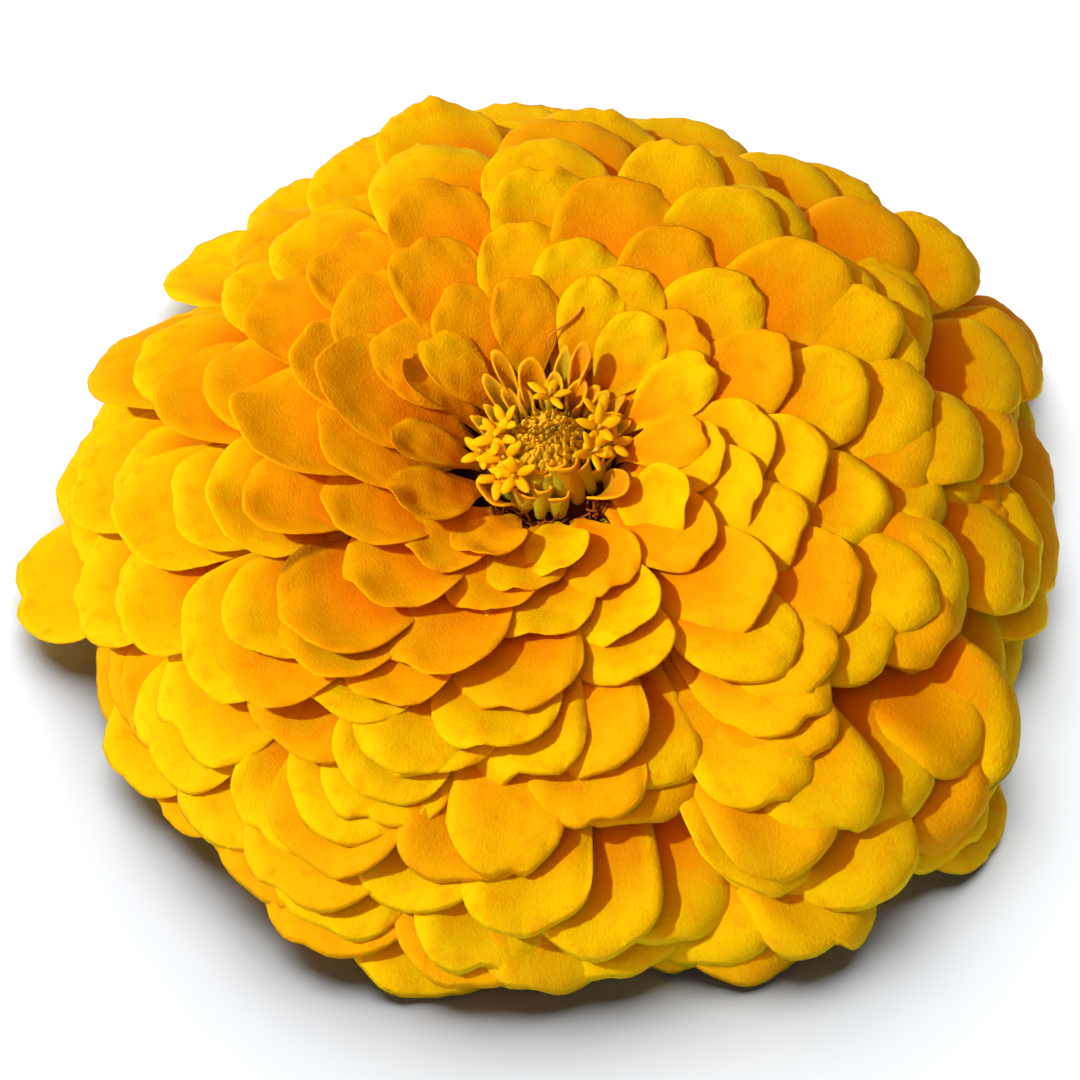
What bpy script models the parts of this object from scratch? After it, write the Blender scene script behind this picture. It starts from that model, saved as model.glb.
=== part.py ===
"""A double zinnia flower head, picked and set face up on its cut stem.

The yellow petals stand on the receptacle in one spiral, each turned on from the last by the
golden angle and each a little lower. A petal's level is 0 for the innermost and 1 for the
lowest. Every level has one profile, a curve from the receptacle to the petal's tip, and the
profiles fan out from upright to drooping, so the petals lie over each other like tiles. At the
end the middle of the head is leant a little to the front and its outline is drawn out of round.
Lengths are in millimetres until mesh_object turns them to metres.
"""

import math

import bmesh
import bpy
import numpy as np

MM = 0.001
SEAT_GAP = 0.3

# Flower head: the tips lie on a flattened dome, which dips towards its middle
HEAD_RADIUS = 54.0
DOME_RISE = 22.5
RIM_HEIGHT = 4.6
TOP_SLANT = math.radians(17.0)
RIM_SLANT = math.radians(98.0)
RIM_CROWDING = -0.08
TOP_SINK = 3.0
TOP_SINK_TO_LEVEL = 0.3

# The middle of the head leans to the front about a level line across it
LEAN = math.radians(12.0)
LEAN_PIVOT = 8.0
LEAN_REACH = 45.0
LEAN_OVER_HEIGHT = 12.0

# Waves of the outline: how many round the head, how strong, and the direction of the first crest
OUTLINE_WAVES = (
    (0, -0.024, 0.0),
    (1, 0.057, -0.93),
    (2, 0.019, 1.6),
    (3, 0.018, -2.2),
    (4, 0.009, 3.14),
    (5, 0.016, 2.76),
)

# No petal goes lower than this over the ground, and none ends abruptly there
LOWEST = 0.3
LOWEST_SOFTNESS = 0.6

# Petals
PETALS = 194
GOLDEN_ANGLE = math.radians(137.508)
PETAL_THICKNESS = 0.7
STATIONS = (0.0, 0.44, 0.80, 0.972)
CLAW_HALF_WIDTH = 0.7
HALF_WIDTH = (2.7, 7.0)
HALF_WIDTH_POWER = 0.55
TIP_ROUNDING = 0.95
TIP_SQUARENESS = 2.6
ROOT_SUNK = 2.0

# Petal profiles: slopes at the root and at the tip, for the innermost and the lowest petal
ROOT_RISE = (58.0, -4.0)
ROOT_RISE_POWER = 0.62
TIP_RISE = (14.0, -30.0)
TIP_RISE_POWER = 0.75
HANDLE_SHARE = 0.38
ARC_TO_CHORD = 1.04

# How much one petal differs from the next
SEED = 11
SWAYS_PER_PETAL = 8
TURN_SWAY = math.radians(3.0)
LENGTH_SWAY = 0.045
WIDTH_SWAY = 0.09
LEVEL_SWAY = 3.4
CUP_SWAY = 0.9
TILT_SWAY = 0.55

# Receptacle that the petals grow on
SHOULDER_RADIUS = 6.8
SHOULDER_DROP = 0.4
FLANK_RADIUS = 10.2
FLANK_FROM_LEVEL = 0.6
RECEPTACLE_TOP = 17.2
RECEPTACLE_BOTTOM = 8.0
LOWEST_ROOT = 8.8
RECEPTACLE_SIDES = 10

# Disc: a low dome covered in buds
DISC_SEAT = RECEPTACLE_TOP + SEAT_GAP
DISC_RADIUS = 4.9
DISC_FOOT_INSET = 0.7
DISC_FOOT_RISE = 0.6
DISC_WALL = 1.4
DISC_RISE = 4.4
DISC_SIDES = 26
DISC_RINGS = 6
BUD_RELIEF = 0.3
BUD_SPIRALS = (8, 13)

# Young rolled petals round the disc, short and tall by turns
YOUNG_PETALS = 20
YOUNG_THICKNESS = 0.6
YOUNG_HEIGHT = (3.8, 5.3)
YOUNG_LEAN = (1.6, 2.8)
YOUNG_HALF_WIDTH = (0.85, 1.15)
YOUNG_INSET = 0.9
YOUNG_ROLL = 0.55

# Open florets: groups of (middle direction, count, step between), directions in degrees
FLORET_GROUPS = ((212.0, 5, 15.0), (4.0, 4, 17.0), (88.0, 2, 17.0), (160.0, 1, 0.0))
FLORET_LOBES = 5
FLORET_STAR_RADIUS = 1.9
FLORET_NOTCH_RADIUS = 0.75
FLORET_TUBE_RADIUS = 0.6
FLORET_REACH = (5.2, 6.1)
FLORET_HEIGHT = (4.3, 5.0)

# Involucre of overlapping bracts, with the cut stem under it
STEM_RADIUS = 3.4
STEM_LENGTH = 1.2
BELL_SPREAD = 7.4
BELL_RISE = 6.0
BELL_TURN = math.radians(86.0)
INVOLUCRE_TOP = RECEPTACLE_BOTTOM - SEAT_GAP
INVOLUCRE_SIDES = 20
BRACTS_PER_ROW = 11
BRACT_STARTS = (0.10, 0.34, 0.58)
BRACT_SPAN = 0.42
BRACT_THICKNESS = 0.7
BRACT_STAND_OFF = (-0.6, 0.75)


def smooth(share):
    """Rises from 0 to 1 with no slope at either end."""
    share = np.clip(share, 0.0, 1.0)
    return share * share * (3.0 - 2.0 * share)


def mix(low, high, share):
    return low + (high - low) * share


def polar(radius, angle, height):
    """Points from radius, angle and height, which spread over each other's axes."""
    radius, angle, height = np.broadcast_arrays(radius, angle, height)
    return np.stack([radius * np.cos(angle), radius * np.sin(angle), height], axis=-1)


def lean_head(points):
    """Leans the middle of the head to the front and draws its outline out of round."""
    x, y, z = np.moveaxis(np.asarray(points, dtype=float), -1, 0)
    radius, angle = np.hypot(x, y), np.arctan2(y, x)
    outline = sum(size * np.cos(order * angle - crest) for order, size, crest in OUTLINE_WAVES)
    scale = 1.0 + outline * smooth(radius / HEAD_RADIUS)
    x, y = x * scale, y * scale
    turn = LEAN * (1.0 - smooth(radius / LEAN_REACH)) * smooth((z - LEAN_PIVOT) / LEAN_OVER_HEIGHT)
    up = z - LEAN_PIVOT
    leant = y * np.cos(turn) - up * np.sin(turn)
    height = LEAN_PIVOT + y * np.sin(turn) + up * np.cos(turn)
    height = LOWEST + LOWEST_SOFTNESS * np.logaddexp(0.0, (height - LOWEST) / LOWEST_SOFTNESS)
    return np.stack([x, leant, height], axis=-1)


def root_of(level):
    """Radius and height where a level leaves the receptacle: over its shoulder, then down its flank."""
    turn = np.clip(level / FLANK_FROM_LEVEL, 0.0, 1.0) * math.pi / 2
    radius = mix(SHOULDER_RADIUS, FLANK_RADIUS, np.sin(turn))
    return radius, mix(RECEPTACLE_TOP - SHOULDER_DROP, LOWEST_ROOT, level)


def tip_of(level):
    """Radius and height of a level's tip, on the dome of the head."""
    slant = mix(TOP_SLANT, RIM_SLANT, mix(level, level**3, RIM_CROWDING))
    sink = TOP_SINK * (1.0 - smooth(level / TOP_SINK_TO_LEVEL))
    return HEAD_RADIUS * np.sin(slant), RIM_HEIGHT + DOME_RISE * np.cos(slant) - sink


def profile(level, share):
    """Radius and height at a share of a level's length: a cubic curve from root to tip."""
    r0, z0 = root_of(level)
    r3, z3 = tip_of(level)
    reach = HANDLE_SHARE * np.hypot(r3 - r0, z3 - z0)
    rise_at_root = np.radians(mix(*ROOT_RISE, level**ROOT_RISE_POWER))
    rise_at_tip = np.radians(mix(*TIP_RISE, level**TIP_RISE_POWER))
    r1 = r0 + reach * np.cos(rise_at_root)
    z1 = z0 + reach * np.sin(rise_at_root)
    r2 = r3 - reach * np.cos(rise_at_tip)
    z2 = z3 - reach * np.sin(rise_at_tip)
    back = 1.0 - share
    weights = (back**3, 3 * back**2 * share, 3 * back * share**2, share**3)
    radius = weights[0] * r0 + weights[1] * r1 + weights[2] * r2 + weights[3] * r3
    height = weights[0] * z0 + weights[1] * z1 + weights[2] * z2 + weights[3] * z3
    return radius, height


def level_length(level):
    r0, z0 = root_of(level)
    r3, z3 = tip_of(level)
    return ARC_TO_CHORD * np.hypot(r3 - r0, z3 - z0)


def broadest_half_width(level):
    return mix(*HALF_WIDTH, level**HALF_WIDTH_POWER)


def half_width(share, broadest, length):
    """Narrow claw, widening blade, rounded tip."""
    widest = 1.0 - TIP_ROUNDING * broadest / length
    spread = smooth(share / widest)
    past = np.clip((share - widest) / (1.0 - widest), 0.0, 1.0)
    return mix(CLAW_HALF_WIDTH, broadest, spread) * np.sqrt(1.0 - past**TIP_SQUARENESS)


def across_blade():
    """The three columns of a blade: its left edge, its middle and its right edge."""
    return np.array([-1.0, 0.0, 1.0])[None, :]


def petal_grid(number, sway):
    """Points of one petal's middle surface, as rows along it and columns across it."""
    level = number / (PETALS - 1)
    share = np.array(STATIONS)[:, None]
    across = across_blade()
    length = level_length(level)
    turn_sway, length_sway, width_sway, cup_sway, tilt_sway = sway[:5]
    broadest = broadest_half_width(level) * (1.0 + WIDTH_SWAY * width_sway)
    reach = share * (1.0 + LENGTH_SWAY * length_sway)
    # The root starts inside the receptacle.
    reach = reach - ROOT_SUNK / length * (share == 0.0)
    # The petal's middle dips or its edges do, and it tilts to one side.
    cup = CUP_SWAY * (across**2 - 0.5) * cup_sway - TILT_SWAY * across * tilt_sway
    lift = LEVEL_SWAY / (PETALS - 1) * cup * smooth(share) * mix(0.5, 1.0, level)
    radius, height = profile(np.clip(level + lift, 0.0, 1.0), reach)
    aside = across * half_width(share, broadest, length)
    turn = number * GOLDEN_ANGLE + TURN_SWAY * turn_sway * smooth(2.0 * share)
    return polar(radius, turn + aside / radius, height)


def surface_normals(grid):
    along = np.gradient(grid, axis=0)
    across = np.gradient(grid, axis=1)
    normal = np.cross(along, across)
    return normal / np.linalg.norm(normal, axis=-1, keepdims=True)


def blade_faces(rows):
    """Triangles of a thin closed blade three points across, split alike on both faces.

    Its root row is one point, which keeps the cut at the root simple.
    """
    shift = 3 * rows - 2

    def corner(row, column, under=False):
        number = 0 if row == 0 else 3 * row - 2 + column
        return number + shift * under

    top = [(corner(0, 0), corner(1, column), corner(1, column + 1)) for column in range(2)]
    for row in range(1, rows - 1):
        for column in range(2):
            a, b = corner(row, column), corner(row + 1, column)
            c, d = corner(row + 1, column + 1), corner(row, column + 1)
            top += [(a, b, c), (a, c, d)]
    faces = top + [(c + shift, b + shift, a + shift) for a, b, c in top]
    rim = [(row, 0) for row in range(rows)] + [(rows - 1, 1)]
    rim += [(row, 2) for row in range(rows - 1, 0, -1)]
    for here, there in zip(rim, rim[1:] + rim[:1]):
        upper, lower = corner(*here), corner(*here, under=True)
        next_upper, next_lower = corner(*there), corner(*there, under=True)
        faces += [(upper, lower, next_lower), (upper, next_lower, next_upper)]
    return faces


def mesh_object(name, points, faces):
    """An object from points in millimetres, with its faces turned outwards."""
    mesh = bpy.data.meshes.new(name)
    mesh.from_pydata([tuple(point * MM) for point in points], [], faces)
    mesh.update()
    made = bmesh.new()
    made.from_mesh(mesh)
    bmesh.ops.recalc_face_normals(made, faces=made.faces)
    made.to_mesh(mesh)
    made.free()
    obj = bpy.data.objects.new(name, mesh)
    bpy.context.scene.collection.objects.link(obj)
    return obj


def blade(name, grid, thickness, leans=True):
    """A closed blade of even thickness about a grid of points, leant with the head if it belongs to it."""
    normal = surface_normals(grid)
    upper = (grid + normal * thickness / 2).reshape(-1, 3)
    lower = (grid - normal * thickness / 2).reshape(-1, 3)
    sides_of_root = (0, 2)
    points = np.concatenate([np.delete(side, sides_of_root, axis=0) for side in (upper, lower)])
    return mesh_object(name, lean_head(points) if leans else points, blade_faces(len(grid)))


def turned(name, outline, sides, relief=None, leans=True):
    """A closed body turned round the Z axis from (radius, height) points, which start and end on it.

    relief, where given, takes a point's angle and its place along the outline, from 0 to 1,
    and gives how far the point stands out and how far it is lifted.
    """
    rings = np.array(outline[1:-1])
    angle = np.arange(sides)[None, :] * 2 * math.pi / sides
    radius, height = rings[:, :1], rings[:, 1:]
    if relief is not None:
        out, up = relief(angle, np.linspace(0.0, 1.0, len(rings))[:, None])
        radius, height = radius + out, height + up
    ring_points = polar(radius, angle, height).reshape(-1, 3)
    poles = np.array([(0.0, 0.0, outline[0][1]), (0.0, 0.0, outline[-1][1])])
    first, last = len(ring_points), len(ring_points) + 1
    last_ring = (len(rings) - 1) * sides
    faces = []
    for j in range(sides):
        k = (j + 1) % sides
        faces.append((first, j, k))
        for i in range(len(rings) - 1):
            a, b = i * sides + j, i * sides + k
            faces += [(a, a + sides, b + sides), (a, b + sides, b)]
        faces.append((last, last_ring + k, last_ring + j))
    points = np.concatenate([ring_points, poles])
    return mesh_object(name, lean_head(points) if leans else points, faces)


def keep_outer_shell(obj):
    """Drops the small closed shells that a union leaves where crossing pieces shut in a hollow."""
    made = bmesh.new()
    made.from_mesh(obj.data)
    unseen = set(made.faces)
    shells = []
    while unseen:
        shell = [unseen.pop()]
        for face in shell:
            for edge in face.edges:
                near = [other for other in edge.link_faces if other in unseen]
                unseen.difference_update(near)
                shell.extend(near)
        shells.append(shell)
    outer = max(shells, key=len)
    for shell in shells:
        if shell is not outer:
            bmesh.ops.delete(made, geom=shell, context="FACES")
    made.to_mesh(obj.data)
    made.free()


def fuse(body, pieces):
    """Joins the pieces to the body with one Boolean union, and removes them."""
    group = bpy.data.collections.new(body.name + "_repeats")
    bpy.context.scene.collection.children.link(group)
    for piece in pieces:
        group.objects.link(piece)
    union = body.modifiers.new("fuse", "BOOLEAN")
    union.operation = "UNION"
    union.operand_type = "COLLECTION"
    union.collection = group
    union.solver = "EXACT"
    with bpy.context.temp_override(object=body, active_object=body):
        bpy.ops.object.modifier_apply(modifier=union.name)
    keep_outer_shell(body)
    for piece in pieces:
        bpy.data.objects.remove(piece)
    bpy.data.collections.remove(group)


def finish(obj, name, colour, roughness):
    """Gives an object its material and smooth shading."""
    material = bpy.data.materials.new(name)
    material.use_nodes = True
    shader = material.node_tree.nodes["Principled BSDF"]
    shader.inputs["Base Color"].default_value = (*colour, 1.0)
    shader.inputs["Roughness"].default_value = roughness
    shader.inputs["Metallic"].default_value = 0.0
    obj.data.materials.clear()
    obj.data.materials.append(material)
    obj.data.shade_smooth()
    obj.data.set_sharp_from_angle(angle=math.radians(40.0))


def ray_petals():
    """All the yellow petals, fused to the receptacle that they grow on."""
    flank = [root_of(level) for level in (0.0, 0.3, 0.6, 1.0)]
    outline = [(0.0, RECEPTACLE_TOP), (SHOULDER_RADIUS - 2 * SHOULDER_DROP, RECEPTACLE_TOP)]
    outline += [(float(radius), float(height)) for radius, height in flank]
    outline += [(FLANK_RADIUS - SHOULDER_DROP, RECEPTACLE_BOTTOM), (0.0, RECEPTACLE_BOTTOM)]
    receptacle = turned("ray_petals", outline, RECEPTACLE_SIDES)
    sways = np.random.default_rng(SEED).uniform(-1.0, 1.0, (PETALS, SWAYS_PER_PETAL))
    petals = []
    for number in range(PETALS):
        grid = petal_grid(number, sways[number])
        petals.append(blade(f"petal_{number}", grid, PETAL_THICKNESS))
    fuse(receptacle, petals)
    finish(receptacle, "petal yellow", (0.93, 0.47, 0.002), 0.55)


def bud_relief(angle, place):
    """Small buds where two sets of spirals cross, over the upper part of the disc."""
    over_dome = smooth((place - 0.3) / 0.15) * (1.0 - smooth((place - 0.85) / 0.15))
    left = np.cos(BUD_SPIRALS[0] * (angle + 1.75 * place))
    right = np.cos(BUD_SPIRALS[1] * (angle - 1.25 * place))
    up = BUD_RELIEF * left * right * over_dome
    return 0.6 * up, up


def disc_dome():
    """A short upright wall under a low dome."""
    slants = np.radians(np.linspace(88.0, 12.0, DISC_RINGS))
    outline = [(0.0, DISC_SEAT), (DISC_RADIUS - DISC_FOOT_INSET, DISC_SEAT)]
    outline += [(DISC_RADIUS, DISC_SEAT + DISC_FOOT_RISE)]
    for slant in slants:
        rise = DISC_WALL + (DISC_RISE - DISC_WALL) * math.cos(slant)
        outline.append((DISC_RADIUS * math.sin(slant), DISC_SEAT + rise))
    outline += [(0.0, DISC_SEAT + DISC_RISE)]
    return turned("disc", outline, DISC_SIDES, bud_relief)


def young_petal(number):
    """A short petal, its edges rolled in towards the disc and its tip leaning out."""
    tall = number % 2
    share = np.array([0.0, 0.55, 1.0])[:, None]
    across = across_blade()
    broadest = mix(*YOUNG_HALF_WIDTH, tall)
    breadth = mix(0.6 * broadest, broadest, smooth(share / 0.7)) * (1.0 - 0.35 * share**4)
    lean = share * mix(*YOUNG_LEAN, tall) * mix(0.6, 1.0, share)
    rolled_in = YOUNG_ROLL * breadth * across**2 * smooth(2.0 * share)
    radius = DISC_RADIUS - YOUNG_INSET + lean - rolled_in
    height = DISC_SEAT + DISC_FOOT_RISE + share * mix(*YOUNG_HEIGHT, tall)
    angle = number * 2 * math.pi / YOUNG_PETALS + across * breadth / radius
    return blade(f"young_{number}", polar(radius, angle, height), YOUNG_THICKNESS)


def open_floret(name, degrees, outer):
    """A tube leaning out from the disc, which opens at its mouth into a star of pointed lobes."""
    angle = math.radians(degrees)
    out = np.array([math.cos(angle), math.sin(angle), 0.0])
    side = np.array([-math.sin(angle), math.cos(angle), 0.0])
    up = np.array([0.0, 0.0, 1.0])
    foot = out * (DISC_RADIUS - YOUNG_INSET) + up * (DISC_SEAT + DISC_FOOT_RISE)
    mouth = out * mix(*FLORET_REACH, outer) + up * (DISC_SEAT + mix(*FLORET_HEIGHT, outer))
    along = (mouth - foot) / np.linalg.norm(mouth - foot)
    across = np.cross(along, side)
    corners = 2 * FLORET_LOBES
    turn = math.pi * (np.arange(corners) + outer) / FLORET_LOBES
    is_tip = (np.arange(corners) % 2 == 0)[:, None]
    away = np.cos(turn)[:, None] * side + np.sin(turn)[:, None] * across
    star = mouth + np.where(is_tip, FLORET_STAR_RADIUS, FLORET_NOTCH_RADIUS) * away
    star = star + 0.35 * is_tip * along
    neck = mouth - 0.75 * along + FLORET_TUBE_RADIUS * away
    throat_point = mouth - 0.1 * along
    points = lean_head(np.concatenate([star, neck, [throat_point], [foot]]))
    throat, root = 2 * corners, 2 * corners + 1
    faces = []
    for here in range(corners):
        there = (here + 1) % corners
        faces += [(throat, here, there), (root, corners + there, corners + here)]
        faces += [(here, corners + here, corners + there), (here, corners + there, there)]
    return mesh_object(name, points, faces)


def disc():
    """The green and yellow middle of the head: buds, young rolled petals and open florets."""
    body = disc_dome()
    pieces = [young_petal(number) for number in range(YOUNG_PETALS)]
    for group, (middle, count, step) in enumerate(FLORET_GROUPS):
        for number in range(count):
            degrees = middle + step * (number - (count - 1) / 2)
            pieces.append(open_floret(f"floret_{group}_{number}", degrees, number % 2))
    fuse(body, pieces)
    finish(body, "young floret green", (0.55, 0.42, 0.01), 0.6)


def bell(place, stand_off=0.0):
    """Radius and height of the involucre's wall, from the stem at 0 to its rim at 1."""
    slant = BELL_TURN * place
    radius = STEM_RADIUS + BELL_SPREAD * np.sin(slant) + stand_off * np.sin(slant)
    return radius, STEM_LENGTH + BELL_RISE * (1.0 - np.cos(slant)) - stand_off * np.cos(slant)


def bract(row, number):
    """One rounded green scale of the involucre, lying along the bell with its tip standing off."""
    share = np.array([0.0, 0.55, 0.95])[:, None]
    start = BRACT_STARTS[row]
    radius, height = bell(start + BRACT_SPAN * share, mix(*BRACT_STAND_OFF, share))
    broadest = 0.95 * math.pi * bell(start + BRACT_SPAN / 2)[0] / BRACTS_PER_ROW
    breadth = broadest * np.array([0.8, 1.0, 0.55])[:, None]
    turn = 2 * math.pi * (number + 0.5 * (row % 2)) / BRACTS_PER_ROW
    grid = polar(radius, turn + across_blade() * breadth / radius, height)
    return blade(f"bract_{row}_{number}", grid, BRACT_THICKNESS, leans=False)


def involucre():
    """The green cup under the petals, ending below in the cut stem that the head rests on."""
    wall = [bell(place) for place in np.linspace(0.0, 1.0, 6)]
    outline = [(0.0, 0.0), (STEM_RADIUS, 0.0)]
    outline += [(float(radius), float(height)) for radius, height in wall]
    outline += [(FLANK_RADIUS - SEAT_GAP, INVOLUCRE_TOP), (0.0, INVOLUCRE_TOP)]
    body = turned("involucre", outline, INVOLUCRE_SIDES, leans=False)
    rows = range(len(BRACT_STARTS))
    bracts = [bract(row, number) for row in rows for number in range(BRACTS_PER_ROW)]
    fuse(body, bracts)
    finish(body, "bract green", (0.16, 0.27, 0.04), 0.65)


def clear_scene():
    for obj in list(bpy.data.objects):
        bpy.data.objects.remove(obj)


clear_scene()
ray_petals()
disc()
involucre()
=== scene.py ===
# Double zinnia bloom: the looks of every petal, floret and bract.
# Surfaces are worked out with numpy in millimetres and put into their meshes in metres,
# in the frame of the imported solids.
import math

import bpy
import numpy as np
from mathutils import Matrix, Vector


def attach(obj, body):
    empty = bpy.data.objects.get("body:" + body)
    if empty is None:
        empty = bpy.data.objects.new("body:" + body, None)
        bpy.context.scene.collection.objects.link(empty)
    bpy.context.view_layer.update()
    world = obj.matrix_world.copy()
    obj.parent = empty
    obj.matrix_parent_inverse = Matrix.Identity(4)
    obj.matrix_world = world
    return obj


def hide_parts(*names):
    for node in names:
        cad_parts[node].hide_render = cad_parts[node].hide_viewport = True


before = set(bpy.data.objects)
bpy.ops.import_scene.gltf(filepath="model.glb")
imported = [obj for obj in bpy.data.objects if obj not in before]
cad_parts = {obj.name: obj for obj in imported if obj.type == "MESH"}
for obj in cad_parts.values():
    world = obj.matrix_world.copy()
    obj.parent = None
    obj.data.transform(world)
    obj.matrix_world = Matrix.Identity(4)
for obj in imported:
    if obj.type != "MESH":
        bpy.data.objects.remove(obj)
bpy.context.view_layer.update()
mm = 0.001
print("frame loaded")


def smooth(share):  # rises from 0 to 1 with no slope at either end
    share = np.clip(share, 0.0, 1.0)
    return share * share * (3.0 - 2.0 * share)


def mix(low, high, share):
    return low + (high - low) * share


def polar(radius, angle, height):  # radius, angle and height to x, y and z
    radius, angle, height = np.broadcast_arrays(radius, angle, height)
    return np.stack([radius * np.cos(angle), radius * np.sin(angle), height], axis=-1)


def unit(vectors):  # each vector over its own length
    return vectors / np.maximum(np.linalg.norm(vectors, axis=-1, keepdims=True), 1e-9)


def draws(seed, *shape):  # even random numbers from -1 to 1, the same each run
    return np.random.default_rng(seed).uniform(-1.0, 1.0, shape)


def perPiece(values):  # one value for each piece of a stack, to go with its grids of points
    return np.asarray(values)[:, None, None]


def facing(turn, direction):  # 1 for what points in this direction, falling to 0 for what points away
    return smooth(0.5 + 0.5 * np.cos(turn - direction))


upright = np.array([0.0, 0.0, 1.0])


def withNormals(surface, along, across, alongStep, acrossStep):
    # Points of a surface that is a function of two numbers, and its normals: the cross product of a
    # short step along and a short step across. They stay true where the grid of points is skewed.
    points = surface(along, across)
    toTip = surface(along + alongStep, across) - points
    toSide = surface(along, across + acrossStep) - points
    return points, unit(np.cross(toTip, toSide))


def makePiece(name, points, faces, material, node, attributes=None, uv=None):
    # Puts arrays of points in mm and of faces into a mesh at the origin, hangs it on the root's empty and
    # hides the solid it stands for.
    mesh = bpy.data.meshes.new(name)
    mesh.vertices.add(len(points))
    mesh.vertices.foreach_set("co", (np.asarray(points, dtype=np.float32) * mm).ravel())
    mesh.loops.add(faces.size)
    mesh.loops.foreach_set("vertex_index", faces.astype(np.int32).ravel())
    mesh.polygons.add(len(faces))
    mesh.polygons.foreach_set("loop_start", np.arange(0, faces.size, faces.shape[1], dtype=np.int32))
    mesh.update(calc_edges=True)
    mesh.validate()
    for key, values in (attributes or {}).items():
        layer = mesh.attributes.new(key, "FLOAT", "POINT")
        layer.data.foreach_set("value", np.asarray(values, dtype=np.float32).ravel())
    if uv is not None:
        layer = mesh.uv_layers.new(name="petalMap")
        layer.data.foreach_set("uv", uv[faces.ravel()].astype(np.float32).ravel())
    mesh.shade_smooth()
    mesh.materials.append(material)
    piece = bpy.data.objects.new(name, mesh)
    bpy.context.scene.collection.objects.link(piece)
    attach(piece, "root")
    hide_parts(node)
    return piece


def shells(sheet, normal, thickness):
    # Closes each sheet of a stack to a thin shell: its upper side is the sheet raised by half the
    # thickness, its lower side the sheet lowered by half, and both share the points of the outline.
    count, rows, columns, _ = sheet.shape
    inside = np.zeros((rows, columns), dtype=bool)
    inside[1:-1, 1:-1] = True
    half = np.broadcast_to(thickness / 2, (count, rows, columns))[..., None]
    upper = sheet + normal * half * inside[None, :, :, None]
    lower = (sheet - normal * half)[:, 1:-1, 1:-1]
    perSheet = rows * columns
    perShell = perSheet + (rows - 2) * (columns - 2)
    points = np.concatenate([upper.reshape(count, -1, 3), lower.reshape(count, -1, 3)], axis=1)
    upperNumber = np.arange(perSheet).reshape(rows, columns)
    lowerNumber = upperNumber.copy()
    lowerNumber[1:-1, 1:-1] = np.arange(perSheet, perShell).reshape(rows - 2, columns - 2)

    def cells(number, flip):
        corners = [number[:-1, :-1], number[1:, :-1], number[1:, 1:], number[:-1, 1:]]
        return np.stack(corners[::-1] if flip else corners, axis=-1).reshape(-1, 4)

    faces = np.concatenate([cells(upperNumber, False), cells(lowerNumber, True)])
    faces = faces[None] + perShell * np.arange(count)[:, None, None]
    return points.reshape(-1, 3), faces.reshape(-1, 4)


def onShell(values, lower=None):
    # One value for each point of the shells that shells() makes; the lower side may have its own.
    count = values.shape[0]
    below = (values if lower is None else lower)[:, 1:-1, 1:-1]
    return np.concatenate([values.reshape(count, -1), below.reshape(count, -1)], axis=1).ravel()


def makeBlades(name, sheet, normal, marks, thickness, material, slotName, node):
    # A stack of sheets as one mesh of thin shells, with the marks that its material reads. The
    # thickness is that of the middle and of the rim, reached over the last 0.9 mm.
    middle, rim = thickness
    points, faces = shells(sheet, normal, mix(rim, middle, smooth(marks.pop("toRim") / 0.9)))
    shape = sheet.shape[:3]
    marks = {key: np.broadcast_to(values, shape) for key, values in marks.items()}
    offset = 17.0 * marks["number"]  # no two blades of a kind get the same stretch of the veins' pattern
    uv = np.stack([onShell(marks["aside"] + offset), onShell(marks["alongMm"] + 0.6 * offset)], axis=-1)
    attributes = {key: onShell(marks[key]) for key in ("along", "rim", "tint", "warmth")}
    attributes["dry"] = onShell(marks["dry"], marks.get("dryUnder"))
    attributes["under"] = onShell(marks.get("over", np.zeros(shape)), marks.get("under", np.ones(shape)))
    return makePiece(name, points, faces, material, node, attributes, uv)


def closeRings(rings, ends):
    # Joins the rings of each tube of a stack, first to last, and closes both ends to a point. The
    # third result is how far along the tube each of its points is, from 0 to 1.
    count, rows, sides, _ = rings.shape
    here = np.arange(sides)
    there = (here + 1) % sides
    low = (np.arange(rows - 1) * sides)[:, None]
    top, first = (rows - 1) * sides, rows * sides
    faces = np.concatenate([
        np.stack([low + here, low + there, low + sides + there], axis=-1).reshape(-1, 3),
        np.stack([low + here, low + sides + there, low + sides + here], axis=-1).reshape(-1, 3),
        np.stack([first + 0 * here, there, here], axis=-1),
        np.stack([first + 1 + 0 * here, top + here, top + there], axis=-1),
    ])
    points = np.concatenate([rings.reshape(count, -1, 3), ends], axis=1)
    faces = faces[None] + (first + 2) * np.arange(count)[:, None, None]
    share = np.linspace(0.0, 1.0, rows + 2)
    along = np.concatenate([np.repeat(share[1:-1], sides), [0.0, 1.0]])
    return points.reshape(-1, 3), faces.reshape(-1, 3), along


def rods(lines, radii, across, sides=8, flat=1.0):
    # Round or flattened bars, one for each line of a stack. A ring's point is the line's point plus
    # the radius along two directions square to the line, the second of them shortened to flat.
    tangent = unit(np.gradient(lines, axis=1))
    across = across[:, None]
    first = unit(across - tangent * np.sum(across * tangent, axis=-1, keepdims=True))
    second = np.cross(tangent, first) * flat
    angle = np.linspace(0.0, 2 * math.pi, sides, endpoint=False)[:, None]
    spokes = first[:, 1:-1, None] * np.cos(angle) + second[:, 1:-1, None] * np.sin(angle)
    return closeRings(lines[:, 1:-1, None] + radii[:, 1:-1, None, None] * spokes, lines[:, [0, -1]])


def makeRods(name, lines, radii, across, material, tint, sides=8, flat=1.0):
    # A stack of rods of the disc, leant with the head, as one mesh.
    points, faces, along = rods(lines, radii, across, sides, flat)
    attributes = {
        "along": np.tile(along, len(lines)), "tint": np.repeat(tint, len(along)),
        "warmth": np.repeat(-tint, len(along)),
    }
    return makePiece(name, leanHead(points), faces, material, "disc", attributes)


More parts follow.
